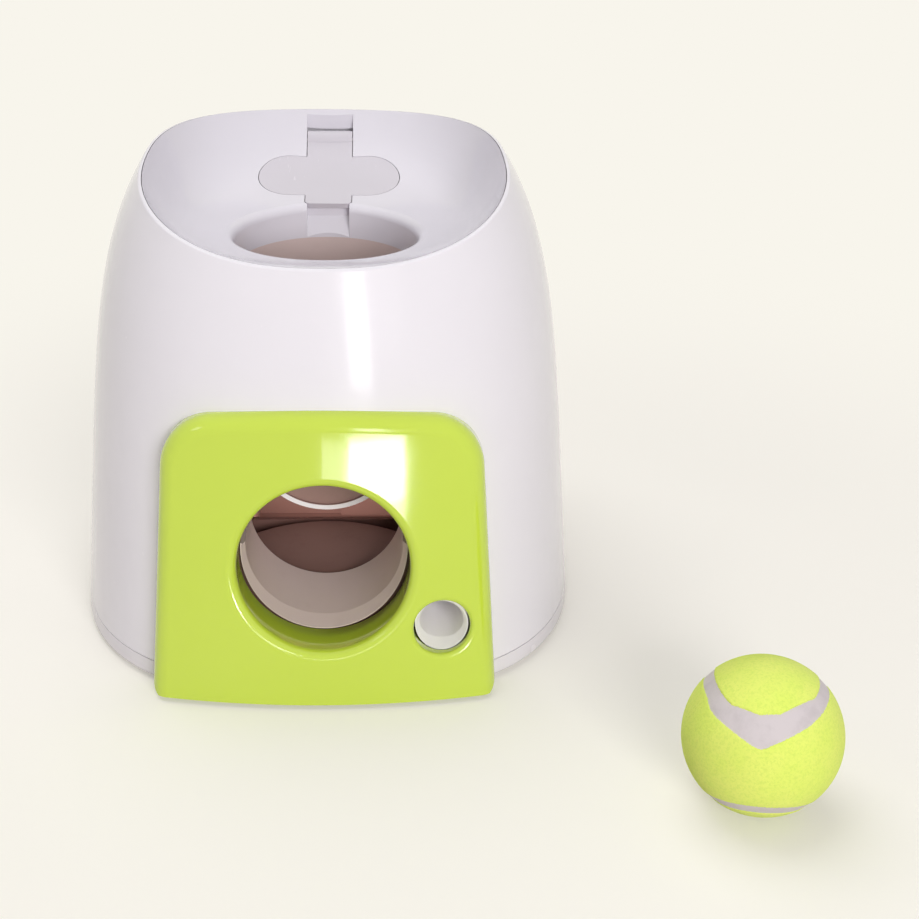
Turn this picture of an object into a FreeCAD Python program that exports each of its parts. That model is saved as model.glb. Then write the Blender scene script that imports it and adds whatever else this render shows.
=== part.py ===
import FreeCAD
import Part
import Sketcher
import math
import os

from FreeCAD import Placement, Rotation, Vector

os.makedirs("parts", exist_ok=True)
doc = FreeCAD.newDocument("treat_machine")
sheet = doc.addObject("Spreadsheet::Sheet", "Sizes")

# Driving dimensions in millimetres and degrees. The origin is on the floor under the middle of the
# machine, +Z is up and the lime panel faces -Y.
SIZES = [
    # outer form of the casing: half width and half depth shrink with height
    ("base_half_width", 117.0),
    ("base_half_depth", 126.5),
    ("side_lean", 0.072),
    ("front_lean", 0.114),
    ("side_shoulder", 17.0),
    ("front_shoulder", 19.2),
    ("side_power", 6.2),
    ("front_power", 3.0),
    ("form_height", 205.0),
    ("centre_lean", 0.02),
    ("corner_power_base", 2.6),
    ("corner_power_top", 2.3),
    ("wall", 3.0),
    ("tray_bottom", 2.0),
    ("tray_floor", 2.5),
    ("seam_height", 9.5),
    ("seam_gap", 0.4),
    ("tray_lip_height", 5.0),
    ("tray_lip_wall", 1.8),
    ("slip_gap", 0.2),
    # rim of the bowl: a parabola seen from the side
    ("rim_front_height", 187.0),
    ("rim_rear_height", 209.5),
    ("rim_crown", 22.5),
    ("rim_front_y", -87.0),
    ("rim_rear_y", 88.0),
    ("lip_radius", 1.1),
    ("lip_wall", 1.2),
    ("lip_depth", 5.0),
    # dished top cover
    ("bowl_skin", 3.0),
    ("bowl_wall_start", 0.6),
    ("bowl_wall_power", 3.5),
    ("bowl_floor_front", 181.3),
    ("bowl_floor_valley", 177.4),
    ("bowl_rear_slope", 16.0),
    ("bowl_blend", 4.0),
    ("ball_hole_radius", 41.7),
    ("ball_hole_y", -14.0),
    ("ball_hole_round", 4.0),
    ("neck_wall", 2.4),
    ("neck_bottom", 163.0),
    # hopper lid, a pill with a finger tab in front and a hinge tab behind
    ("lid_half_length", 34.0),
    ("lid_half_width", 15.4),
    ("lid_y", 52.5),
    ("lid_thickness", 2.7),
    ("lid_gap", 0.35),
    ("tab_half_width", 11.0),
    ("tab_front_y", 28.6),
    ("tab_rear_y", 74.6),
    ("lid_lean", 21.5),
    ("lid_height", 184.5),
    ("hinge_y", 78.4),
    ("hinge_height", 196.3),
    ("knuckle_radius", 4.35),
    ("knuckle_swing", 4.7),
    ("lid_pin_radius", 1.25),
    ("ear_width", 4.0),
    ("groove_depth", 5.0),
    ("groove_bottom", 164.0),
    ("groove_back", 1.8),
    # lime front panel
    ("panel_tilt", 9.14),
    ("panel_foot_y", -132.0),
    ("panel_half_foot", 76.2),
    ("panel_half_top", 68.2),
    ("panel_height", 134.0),
    ("panel_foot_spare", 1.5),
    ("panel_crown", 4.6),
    ("panel_top_corner", 25.0),
    ("panel_foot_corner", 9.0),
    ("panel_bow_radius", 350.0),
    ("panel_edge_round", 8.0),
    ("panel_wall", 2.6),
    ("panel_depth", 34.0),
    ("panel_pad", 6.0),
    # ball outlet and treat outlet in the panel
    ("outlet_radius", 37.5),
    ("outlet_up", 64.3),
    ("outlet_round", 4.0),
    ("collar_wall", 2.3),
    ("outlet_collar_depth", 19.0),
    ("outlet_skirt_depth", 28.0),
    ("skirt_gap", 0.5),
    ("treat_hole_radius", 12.4),
    ("treat_x", 51.5),
    ("treat_up", 36.4),
    ("treat_round", 2.2),
    ("treat_collar_depth", 9.6),
    ("chute_depth", 10.2),
    # ball and its way through the machine
    ("ball_radius", 32.5),
    ("ball_x", 177.5),
    ("ball_y", -201.0),
    ("felt", 3.0),
    ("core_wall", 3.5),
    ("ball_seam", 2.4),
    ("seam_share", 0.214),
    ("seam_turn", 142.8),
    ("seam_sink", 0.5),
    ("tube_wall", 2.0),
    ("rim_wall", 0.4),
    ("exit_flare_length", 8.0),
    ("exit_flare_slope", 0.46),
    ("exit_flare_drop", 1.1),
    ("chute_flare_length", 5.0),
    ("chute_flare_slope", 0.7),
    ("chute_flare_drop", 0.7),
    ("exit_outer", 36.6),
    ("exit_slope", 5.0),
    ("exit_front_y", -104.0),
    ("exit_height", 64.2),
    ("exit_rear_y", -68.0),
    ("exit_open_y", -101.8),
    ("exit_open_height", 66.0),
    ("saddle_top", 70.0),
    ("saddle_end_y", -64.0),
    ("saddle_rib", 3.0),
    ("drop_low_radius", 39.0),
    ("drop_bottom", 115.0),
    ("drop_flange", 8.5),
    ("drop_flange_thick", 2.5),
    ("channel_half", 37.0),
    ("channel_wall", 2.2),
    ("channel_top", 112.0),
    ("channel_front_y", -100.0),
    ("channel_back_y", 34.0),
    ("channel_base", 2.2),
    ("channel_stand", 4.0),
    ("step_x", 4.5),
    ("step_depth", 2.0),
    ("step_top", 41.5),
    ("ramp_front_y", -66.5),
    ("ramp_front_height", 31.4),
    ("ramp_slope", 10.6),
    ("ramp_rear_y", -28.0),
    ("ramp_plate", 2.4),
    ("ramp_arc", 70.0),
    # swinging flap over the ball outlet
    ("flap_y", -52.0),
    ("flap_height", 108.0),
    ("flap_radius", 34.5),
    ("flap_reach", 49.5),
    ("flap_thick", 2.0),
    ("flap_bead", 1.2),
    ("flap_pin_radius", 1.5),
    ("flap_knuckle", 2.8),
    ("flap_stop_height", 94.0),
    # trip paddle, gears and metering drum
    ("pivot_y", 28.0),
    ("pivot_height", 48.0),
    ("paddle_rest", 13.0),
    ("paddle_swing", 24.0),
    ("stop_gap", 0.4),
    ("stop_y", -22.0),
    ("stop_width", 3.0),
    ("upper_stop_y", 8.0),
    ("paddle_half", 34.5),
    ("paddle_thick", 3.0),
    ("paddle_gap", 1.6),
    ("hub_radius", 5.5),
    ("hub_left_x", -26.0),
    ("hub_right_x", 34.0),
    ("spring_wire", 0.45),
    ("spring_radius", 5.0),
    ("spring_left_x", -35.5),
    ("spring_right_x", -27.5),
    ("spring_turns", 5),
    ("spring_leg", 14.0),
    ("spring_anchor", 9.5),
    ("spring_hole", 1.2),
    ("shaft_radius", 3.0),
    ("shaft_left_x", -53.0),
    ("shaft_right_x", 39.5),
    ("drum_shaft_left_x", -51.0),
    ("clip_radius", 5.5),
    ("clip_thick", 0.8),
    ("clip_gap", 0.2),
    ("running_gap", 0.05),
    ("gear_module", 1.5),
    ("pinion_teeth", 18),
    ("sector_teeth", 94),
    ("gear_x", -49.0),
    ("gear_width", 4.0),
    ("gear_backlash", 0.2),
    ("drum_height", 125.0),
    ("drum_radius", 16.0),
    ("drum_half", 20.0),
    ("pocket_radius", 11.0),
    ("pocket_half", 17.0),
    ("drum_gap", 0.6),
    ("drum_end_gap", 0.5),
    ("end_wall", 3.0),
    ("arch_wall", 2.4),
    ("arch_skirt", 3.0),
    ("end_skirt", 8.0),
    ("sector_hub", 8.0),
    ("bush_wall", 1.5),
    ("bush_flange", 1.0),
    # treat hopper, tray and chute
    ("hopper_ledge", 2.5),
    ("hopper_wall", 2.0),
    ("hopper_straight", 158.0),
    ("hopper_throat", 145.0),
    ("throat_half_length", 17.0),
    ("throat_half_width", 9.0),
    ("flange_reach", 2.8),
    ("flange_drop", 3.1),
    ("flange_thick", 2.0),
    ("tray_left_height", 103.0),
    ("tray_slope", 15.4),
    ("tray_left_x", -27.0),
    ("tray_right_x", 42.0),
    ("tray_front_y", 44.0),
    ("tray_rear_y", 90.0),
    ("tray_wall", 2.0),
    ("tray_side", 9.0),
    ("chute_outer", 11.7),
    ("chute_slope", 10.8),
    ("chute_rear_y", 88.0),
    ("catch_top", 75.5),
    ("catch_bottom", 64.0),
    ("post_half", 4.0),
    ("post_x", 18.0),
    ("post_y", 66.0),
    ("peg_radius", 2.0),
    # fasteners and feet
    ("screw_radius", 1.5),
    ("screw_head", 3.0),
    ("screw_head_height", 2.2),
    ("screw_socket", 1.4),
    ("channel_grip", 5.0),
    ("screw_grip", 9.0),
    ("base_screw_seat", 8.0),
    ("base_screw_length", 22.0),
    ("ear_thick", 2.5),
    ("screw_gap", 0.1),
    ("shelf_thick", 2.5),
    ("cover_boss_bottom", 150.0),
    ("hopper_ear_top", 166.0),
    ("boss_radius", 4.5),
    ("foot_radius", 8.0),
    ("foot_height", 3.5),
    ("foot_x", 62.0),
    ("foot_y", 88.0),
]
for row, (alias, number) in enumerate(SIZES, start=1):
    sheet.set("A%d" % row, alias)
    sheet.set("B%d" % row, str(number))
    sheet.setAlias("B%d" % row, alias)
doc.recompute()


class Size:
    """A number together with the sheet expression that gives it."""

    def __init__(self, value, text):
        self.value = float(value)
        self.text = text

    def __float__(self):
        return self.value

    def __add__(self, other):
        other = size(other)
        return Size(self.value + other.value, "(%s + %s)" % (self.text, other.text))

    def __radd__(self, other):
        return size(other) + self

    def __sub__(self, other):
        other = size(other)
        return Size(self.value - other.value, "(%s - %s)" % (self.text, other.text))

    def __rsub__(self, other):
        return size(other) - self

    def __mul__(self, other):
        other = size(other)
        return Size(self.value * other.value, "(%s * %s)" % (self.text, other.text))

    def __rmul__(self, other):
        return size(other) * self

    def __truediv__(self, other):
        other = size(other)
        return Size(self.value / other.value, "(%s / %s)" % (self.text, other.text))

    def __neg__(self):
        return Size(-self.value, "(0 - %s)" % self.text)


class Sizes:
    """Reads a size from the sheet by its name."""

    def __getattr__(self, alias):
        return Size(sheet.get(alias), "Sizes.%s" % alias)


def size(number):
    return number if isinstance(number, Size) else Size(number, "%r" % float(number))


def cosine(angle):
    return Size(math.cos(math.radians(angle.value)), "cos(%s * 1 deg)" % angle.text)


def sine(angle):
    return Size(math.sin(math.radians(angle.value)), "sin(%s * 1 deg)" % angle.text)


def tangent(angle):
    return Size(math.tan(math.radians(angle.value)), "tan(%s * 1 deg)" % angle.text)


def root(number):
    return Size(math.sqrt(number.value), "sqrt(%s)" % number.text)


S = Sizes()
nodes = []


def cell(name):
    return float(getattr(S, name))


# Outer form of the casing

def form_half_width(z):
    shoulder = cell("side_shoulder") * (z / cell("form_height")) ** cell("side_power")
    return cell("base_half_width") - cell("side_lean") * z - shoulder


def form_half_depth(z):
    shoulder = cell("front_shoulder") * (z / cell("form_height")) ** cell("front_power")
    return cell("base_half_depth") - cell("front_lean") * z - shoulder


def oval(half_width, half_depth, centre_y, power, z, count=32):
    """Closed smooth outline between a rectangle and an ellipse, at height z."""
    points = []
    for step in range(count):
        angle = 2 * math.pi * step / count
        reach = abs(math.cos(angle) / half_width) ** power + abs(math.sin(angle) / half_depth) ** power
        radius = reach ** (-1 / power)
        points.append(Vector(radius * math.cos(angle), centre_y + radius * math.sin(angle), z))
    curve = Part.BSplineCurve()
    curve.interpolate(Points=points, PeriodicFlag=True)
    return Part.Wire(curve.toShape())


def form_outline(z, inset):
    share = z / cell("form_height")
    power = cell("corner_power_base") + (cell("corner_power_top") - cell("corner_power_base")) * share
    centre = cell("centre_lean") * z
    return oval(form_half_width(z) - inset, form_half_depth(z) - inset, centre, power, z)


made = {}


def form(inset, low, high, sections=7):
    """Solid of the casing's outer form between two heights, drawn in by an inset."""
    key = ("form", inset, low, high)
    if key not in made:
        steps = [low + (high - low) * i / (sections - 1) for i in range(sections)]
        made[key] = Part.makeLoft([form_outline(z, inset) for z in steps], True, False)
    return made[key]


def rim_height(y):
    front, rear = cell("rim_front_y"), cell("rim_rear_y")
    share = (y - front) / (rear - front)
    low, high, crown = cell("rim_front_height"), cell("rim_rear_height"), cell("rim_crown")
    return low + (high - low) * share + 2 * crown * share * (1 - share)


FORM_TOP = cell("rim_rear_height") + 15
REACH = cell("base_half_depth") + 20


def above_rim():
    """Everything above the swooping rim of the bowl."""
    low, high = -REACH, REACH
    slope = (rim_height(low + 1) - rim_height(low - 1)) / 2
    curve = Part.BezierCurve()
    curve.setPoles([
        Vector(-REACH, low, rim_height(low)),
        Vector(-REACH, 0, rim_height(low) - slope * low),
        Vector(-REACH, high, rim_height(high)),
    ])
    top = 2 * FORM_TOP
    corners = [Vector(-REACH, high, rim_height(high)), Vector(-REACH, high, top),
               Vector(-REACH, low, top), Vector(-REACH, low, rim_height(low))]
    edges = [curve.toShape()] + [Part.makeLine(a, b) for a, b in zip(corners, corners[1:])]
    return Part.Face(Part.Wire(edges)).extrude(Vector(2 * REACH, 0, 0))


def edges_where(shape, test):
    """Edges of a shape whose ends and middle all pass a test."""
    chosen = []
    for edge in shape.Edges:
        first, last = edge.FirstParameter, edge.LastParameter
        if all(test(edge.valueAt(t)) for t in (first, (first + last) / 2, last)):
            chosen.append(edge)
    return chosen


def on_rim(point):
    return abs(point.z - rim_height(point.y)) < 0.05


def casing_solid():
    """Outer form cut to the rim, with the rim rounded over."""
    solid = form(0, cell("seam_height") + cell("seam_gap"), FORM_TOP).cut(above_rim())
    return solid.makeFillet(cell("lip_radius"), edges_where(solid, on_rim))


# Dished floor of the bowl, as a height over x and y

def rim_reach(x, y):
    """How far out a point lies: 0 at the middle of the bowl and 1 at the inside of the casing's rim."""
    height = rim_height(y)
    share = height / cell("form_height")
    power = cell("corner_power_base") + (cell("corner_power_top") - cell("corner_power_base")) * share
    inset = cell("lip_wall") + cell("slip_gap")
    across = abs(x) / (form_half_width(height) - inset)
    along = abs(y - cell("centre_lean") * height) / (form_half_depth(height) - inset)
    return (across ** power + along ** power) ** (1 / power)


def bowl_height(x, y, reach_scale=1.0, drop=0.0):
    """Height of the bowl's floor: two planes that meet behind the ball hole, and a wall up to the rim."""
    front = cell("bowl_floor_front")
    valley = cell("bowl_floor_valley")
    radius = cell("ball_hole_radius")
    hole_y = cell("ball_hole_y")
    rise = math.tan(math.radians(cell("bowl_rear_slope")))
    front_plane = front + (valley - front) * (y - (hole_y - radius)) / (2 * radius)
    rear_plane = valley + rise * (y - (hole_y + radius))
    gap = rear_plane - front_plane
    floor = front_plane + (gap + math.hypot(gap, cell("bowl_blend"))) / 2
    start = cell("bowl_wall_start")
    share = max(0.0, (rim_reach(x, y) * reach_scale - start) / (1 - start))
    return floor + share ** cell("bowl_wall_power") * (rim_height(y) - floor) - drop


def bowl_ring(reach, reach_scale, drop, count=40):
    """Closed outline on the bowl's floor at a share of the way out to the rim."""
    centre_y = cell("centre_lean") * cell("form_height")
    points = []
    for step in range(count):
        across = math.cos(2 * math.pi * step / count)
        along = math.sin(2 * math.pi * step / count)
        radius = reach * form_half_width(cell("form_height"))
        for _ in range(12):
            radius *= reach / rim_reach(radius * across, centre_y + radius * along)
        x, y = radius * across, centre_y + radius * along
        points.append(Vector(x, y, bowl_height(x, y, reach_scale, drop)))
    curve = Part.BSplineCurve()
    curve.interpolate(Points=points, PeriodicFlag=True)
    return Part.Wire(curve.toShape())


BOWL_REACHES = [0.22, 0.42, 0.58, 0.68, 0.77, 0.85, 0.91, 0.96, 1.0]


def bowl_layer(top_scale, top_drop, low_scale, low_drop):
    """Solid between two surfaces that follow the bowl's floor."""
    key = ("bowl", top_scale, top_drop, low_scale, low_drop)
    if key in made:
        return made[key]
    upper = [bowl_ring(r, top_scale, top_drop) for r in BOWL_REACHES]
    lower = [bowl_ring(r, low_scale, low_drop) for r in BOWL_REACHES]
    skins = [Part.makeLoft(upper, False, False), Part.makeLoft(lower, False, False),
             Part.makeLoft([upper[0], lower[0]], False, True), Part.makeLoft([upper[-1], lower[-1]], False, True)]
    shell = Part.Shell([face for skin in skins for face in skin.Faces])
    shell.sewShape()
    solid = Part.Solid(shell)
    if solid.Volume < 0:
        solid.reverse()
    made[key] = solid
    return solid


def compound(shapes):
    return Part.makeCompound(shapes)


# Building blocks

def feature(label, shape):
    """A piece with a free form, whose shape is worked out here from the sheet."""
    piece = doc.addObject("Part::Feature", label)
    piece.Label = label
    piece.Shape = shape
    nodes.append(piece)
    return piece


def bind(piece, prop, amount):
    amount = size(amount)
    if prop.startswith("Placement"):
        piece.setExpression("." + prop, amount.text)
    else:
        setattr(piece, prop, amount.value)
        piece.setExpression(prop, amount.text)


def place(piece, at, turn=None):
    """Puts a piece at a point given in sizes, after a turn of (axis, angle)."""
    turn = turn or (Vector(0, 0, 1), size(0))
    axis, angle = turn[0], size(turn[1])
    spot = [size(c) for c in at]
    piece.Placement = Placement(Vector(*[float(c) for c in spot]), Rotation(axis, angle.value))
    for letter, amount in zip("xyz", spot):
        bind(piece, "Placement.Base." + letter, amount)
    if len(angle.text) > 6:
        bind(piece, "Placement.Rotation.Angle", angle)
    return piece


ALONG = {"x": (Vector(0, 1, 0), 90), "y": (Vector(1, 0, 0), -90), "z": (Vector(0, 0, 1), 0)}


def cylinder(name, radius, length, at, along="z"):
    piece = doc.addObject("Part::Cylinder", name)
    bind(piece, "Radius", radius)
    bind(piece, "Height", length)
    return place(piece, at, ALONG[along])


def block(name, low, high):
    piece = doc.addObject("Part::Box", name)
    for prop, a, b in zip(("Length", "Width", "Height"), low, high):
        bind(piece, prop, size(b) - size(a))
    return place(piece, low)


def fuse(name, *pieces):
    piece = doc.addObject("Part::MultiFuse", name)
    piece.Shapes = list(pieces)
    piece.Refine = True
    return piece


def cut(name, base, *tools):
    tool = tools[0] if len(tools) == 1 else fuse(name + "_tools", *tools)
    piece = doc.addObject("Part::Cut", name)
    piece.Base = base
    piece.Tool = tool
    return piece


def node(piece, label):
    piece.Label = label
    nodes.append(piece)
    return piece


# Sketched bodies

def plane_of(body, role):
    for candidate in body.Origin.OriginFeatures:
        if candidate.Role == role:
            return candidate


def sketch(body, role, offset=0):
    name = "%s_sketch_%d" % (body.Name, len(body.Group))
    drawing = body.newObject("Sketcher::SketchObject", name)
    drawing.AttachmentSupport = [(plane_of(body, role), "")]
    drawing.MapMode = "FlatFace"
    drawing.AttachmentOffset = Placement(Vector(0, 0, float(size(offset))), Rotation())
    drawing.setExpression(".AttachmentOffset.Base.z", size(offset).text)
    return drawing


def pin_point(drawing, geometry, end, x, y):
    """Fixes an end of a sketch line or a centre to a point given in sizes."""
    for kind, amount in (("DistanceX", size(x)), ("DistanceY", size(y))):
        index = drawing.addConstraint(Sketcher.Constraint(kind, -1, 1, geometry, end, amount.value))
        drawing.setExpression("Constraints[%d]" % index, amount.text)


def outline(drawing, corners):
    """Closed outline of straight lines through points given in sizes."""
    spots = [Vector(float(size(x)), float(size(y)), 0) for x, y in corners]
    first = drawing.GeometryCount
    for start, end in zip(spots, spots[1:] + spots[:1]):
        drawing.addGeometry(Part.LineSegment(start, end))
    last = drawing.GeometryCount - 1
    for line in range(first, last + 1):
        following = line + 1 if line < last else first
        drawing.addConstraint(Sketcher.Constraint("Coincident", line, 2, following, 1))
    for line, (x, y) in zip(range(first, last + 1), corners):
        pin_point(drawing, line, 1, x, y)


def circle(drawing, x, y, radius):
    centre = Vector(float(size(x)), float(size(y)), 0)
    ring = drawing.addGeometry(Part.Circle(centre, Vector(0, 0, 1), float(size(radius))))
    pin_point(drawing, ring, 3, x, y)
    index = drawing.addConstraint(Sketcher.Constraint("Radius", ring, float(size(radius))))
    drawing.setExpression("Constraints[%d]" % index, size(radius).text)


def rectangle(drawing, low, high):
    (x0, y0), (x1, y1) = low, high
    outline(drawing, [(x0, y0), (x1, y0), (x1, y1), (x0, y1)])


def pad(body, drawing, length):
    step = body.newObject("PartDesign::Pad", drawing.Name + "_pad")
    step.Profile = drawing
    bind(step, "Length", length)
    return step


cuts = []


def pocket(body, drawing, depth):
    """Cuts from the sketch plane against its normal."""
    step = body.newObject("PartDesign::Pocket", drawing.Name + "_pocket")
    step.Profile = drawing
    bind(step, "Length", depth)
    cuts.append(step)
    return step


def turned(body, drawing):
    """Turns a sketch in the upright plane once about the upright axis."""
    step = body.newObject("PartDesign::Revolution", drawing.Name + "_turned")
    step.Profile = drawing
    step.ReferenceAxis = (drawing, ["V_Axis"])
    step.Angle = 360
    return step


def new_body(label):
    body = doc.addObject("PartDesign::Body", label)
    body.Label = label
    nodes.append(body)
    return body


# Shared places, worked out from the sizes

TILT = 90 - cell("panel_tilt")


def on_panel(shape, x, up, depth=0.0):
    """Moves a shape from its own frame to a point of the panel: its Z axis then points out of the panel."""
    tilt = math.radians(cell("panel_tilt"))
    foot = Vector(x, cell("panel_foot_y"), 0)
    spot = foot + Vector(0, math.sin(tilt), math.cos(tilt)) * up - Vector(0, -math.cos(tilt), math.sin(tilt)) * depth
    shape.Placement = Placement(spot, Rotation(Vector(1, 0, 0), TILT))
    return shape


def panel_prism(inset, low, foot_corner):
    """The panel's outline down to a height in its own frame, as a thick block with rounded corners."""
    crown, depth, high = cell("panel_crown"), cell("panel_depth"), cell("panel_height") - inset
    lean = (cell("panel_half_foot") - cell("panel_half_top")) / (cell("panel_height") - crown)
    foot, top = cell("panel_half_foot") - inset - lean * low, cell("panel_half_top") - inset
    corners = [Vector(-foot, low, 0), Vector(foot, low, 0), Vector(top, high - crown, 0), Vector(-top, high - crown, 0)]
    edges = [Part.makeLine(corners[3], corners[0]), Part.makeLine(corners[0], corners[1]),
             Part.makeLine(corners[1], corners[2]),
             Part.Arc(corners[2], Vector(0, high, 0), corners[3]).toShape()]
    solid = Part.Face(Part.Wire(edges)).extrude(Vector(0, 0, depth + 10))
    solid.translate(Vector(0, 0, -depth))
    for radius, at_top in ((cell("panel_top_corner") - inset, True), (foot_corner, False)):
        corner_edges = [e for e in solid.Edges if abs(e.BoundBox.ZLength - depth - 10) < 0.01
                        and e.BoundBox.XLength < 0.01 and (e.CenterOfMass.y > high / 2) == at_top]
        if radius:
            solid = solid.makeFillet(radius, corner_edges)
    return solid


def panel_block(inset):
    """Solid of the panel's outer form, drawn in by an inset."""
    level = cell("tray_bottom") + inset
    low = level / math.cos(math.radians(cell("panel_tilt"))) - cell("panel_foot_spare")
    below = low - 2 * cell("panel_edge_round")
    bow = cell("panel_bow_radius") - inset
    drum = Part.makeCylinder(bow, 4 * cell("panel_height"), Vector(0, -cell("panel_height"), -bow - inset), Vector(0, 1, 0))
    solid = panel_prism(inset, below, 0).common(drum)
    front = max(solid.Faces, key=lambda face: face.CenterOfMass.z)
    sides_and_top = [e for e in front.Edges if e.BoundBox.YMax > low]
    solid = solid.makeFillet(cell("panel_edge_round") - inset, sides_and_top)
    solid = solid.common(panel_prism(inset, low, cell("panel_foot_corner") - inset))
    solid = on_panel(solid, 0, 0)
    return solid.cut(Part.makeBox(2 * REACH, 2 * REACH, 2 * REACH, Vector(-REACH, -2 * REACH, level - 2 * REACH)))


def panel_bore(radius, x, up, near, far):
    """Cylinder square to the panel, from one depth behind its face to another."""
    return on_panel(Part.makeCylinder(radius, far - near), x, up, far)


def bow_back(x):
    """How far the bowed face of the panel falls back at a distance from its middle."""
    bow = cell("panel_bow_radius")
    return bow - math.sqrt(bow * bow - x * x)


GEAR_CENTRES = S.gear_module * (S.pinion_teeth + S.sector_teeth) / 2
GEAR_RISE = S.drum_height - S.pivot_height
DRUM_Y = S.pivot_y + root(GEAR_CENTRES * GEAR_CENTRES - GEAR_RISE * GEAR_RISE)
BASE = S.tray_bottom + S.tray_floor


# Casing: tall white shell, dished top cover and base tray

def corner_spots(share, z=cell("seam_height")):
    """Four places near the rounded corners of the casing."""
    half_x, half_y = form_half_width(z) * share, form_half_depth(z) * share
    return [Vector(sx * half_x, sy * half_y, 0) for sx in (-1, 1) for sy in (-1, 1)]


BASE_SCREWS = corner_spots(0.69)
COVER_SCREWS = [Vector(sx * 0.56 * form_half_width(170), sy * 0.56 * form_half_depth(170) + 4, 0)
                for sx in (-1, 1) for sy in (-1, 1)]
PANEL_SCREWS = [(-56.0, 28.0), (60.0, 96.0), (-60.0, 96.0), (30.0, 26.0)]


def body_shell():
    low = cell("seam_height") + cell("tray_lip_height") + 1
    bosses, holes = [], []
    for spot in BASE_SCREWS:
        out = Vector(spot.x, spot.y, 0).normalize()
        rib = Part.makeBox(30, 2, 26, Vector(0, -1, low))
        rib.rotate(Vector(0, 0, 0), Vector(0, 0, 1), math.degrees(math.atan2(out.y, out.x)))
        rib.translate(spot)
        bosses.append(Part.makeCylinder(cell("boss_radius"), 26, spot + Vector(0, 0, low)).fuse(rib))
        holes.append(Part.makeCylinder(cell("screw_radius"), 20, spot + Vector(0, 0, low)))
    shelf_top = cell("cover_boss_bottom")
    for spot in COVER_SCREWS:
        side = 1 if spot.x > 0 else -1
        shelf = Part.makeBox(60, 12, cell("shelf_thick"))
        shelf.translate(Vector(0, -6, shelf_top - cell("shelf_thick")))
        if side < 0:
            shelf.rotate(Vector(0, 0, 0), Vector(0, 0, 1), 180)
        shelf.translate(Vector(spot.x - side * 6, spot.y, 0))
        bosses.append(shelf)
        holes.append(Part.makeCylinder(cell("screw_radius") + cell("screw_gap"), 10, spot + Vector(0, 0, shelf_top - 5)))
    for x, up in PANEL_SCREWS:
        depth = casing_depth(x, up)
        bosses.append(panel_bore(cell("boss_radius"), x, up, depth - 1, depth + cell("panel_pad")))
    inner = compound(bosses).common(form(cell("wall") / 2, 0, FORM_TOP))
    seat = above_rim().translated(Vector(0, 0, -cell("lip_depth"))).common(form(cell("lip_wall"), 0, FORM_TOP))
    shell = casing_solid().cut([form(cell("wall"), 0, FORM_TOP), seat])
    shell = shell.fuse(inner.Solids)
    collar = cell("collar_wall") + cell("slip_gap")
    bores = [panel_bore(cell("outlet_radius") + collar, 0, cell("outlet_up"), -5, 60),
             panel_bore(cell("treat_hole_radius") + collar, cell("treat_x"), cell("treat_up"), -5, 60)]
    for x, up in PANEL_SCREWS:
        bores.append(panel_bore(cell("screw_radius") + cell("screw_gap"), x, up, 0, 50))
    return shell.cut(holes + bores)


def prism(edges, low, high):
    solid = Part.Face(Part.Wire(edges)).extrude(Vector(0, 0, high - low))
    solid.translate(Vector(0, 0, low))
    return solid


def pill(half_length, half_width, centre_y, low, high):
    """Upright solid with straight long sides and round ends."""
    straight = half_length - half_width
    a, b = Vector(-straight, centre_y - half_width, 0), Vector(straight, centre_y - half_width, 0)
    c, d = Vector(straight, centre_y + half_width, 0), Vector(-straight, centre_y + half_width, 0)
    edges = [Part.makeLine(a, b), Part.Arc(b, Vector(half_length, centre_y, 0), c).toShape(),
             Part.makeLine(c, d), Part.Arc(d, Vector(-half_length, centre_y, 0), a).toShape()]
    return prism(edges, low, high)


def lid_place(y):
    """Distance of a point of the lid's middle line from the lid's middle, along the lid's own plane."""
    lean = math.radians(cell("lid_lean"))
    return (y - cell("lid_y")) * math.cos(lean) + (bowl_height(0, y) - cell("lid_height")) * math.sin(lean)


def lid_prism(grow):
    """Cross-shaped outline of the lid, swept along a line that leans forward as the lid leaves its seat."""
    lean, tall = math.radians(cell("lid_lean")), 30
    slope = math.radians(cell("bowl_rear_slope"))
    flat = math.cos(lean - slope) / math.cos(slope)
    body = pill(cell("lid_half_length") + grow, cell("lid_half_width") * flat + grow, 0, -tall, tall)
    half = cell("tab_half_width") + grow
    front, rear = lid_place(cell("tab_front_y")) - grow, lid_place(cell("tab_rear_y")) + grow
    tab = Part.makeBox(2 * half, rear - front, 2 * tall, Vector(-half, front, -tall))
    corners = [e for e in tab.Edges if e.BoundBox.ZLength > 1 and e.CenterOfMass.y < 0]
    whole = body.fuse(tab.makeFillet(2.5, corners))
    whole.Placement = Placement(Vector(0, cell("lid_y"), cell("lid_height")), Rotation(Vector(1, 0, 0), cell("lid_lean")))
    return whole


def hinge_rod(radius, half, offset=0.0):
    return Part.makeCylinder(radius, 2 * half, Vector(-half + offset, cell("hinge_y"), cell("hinge_height")), Vector(1, 0, 0))


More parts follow.
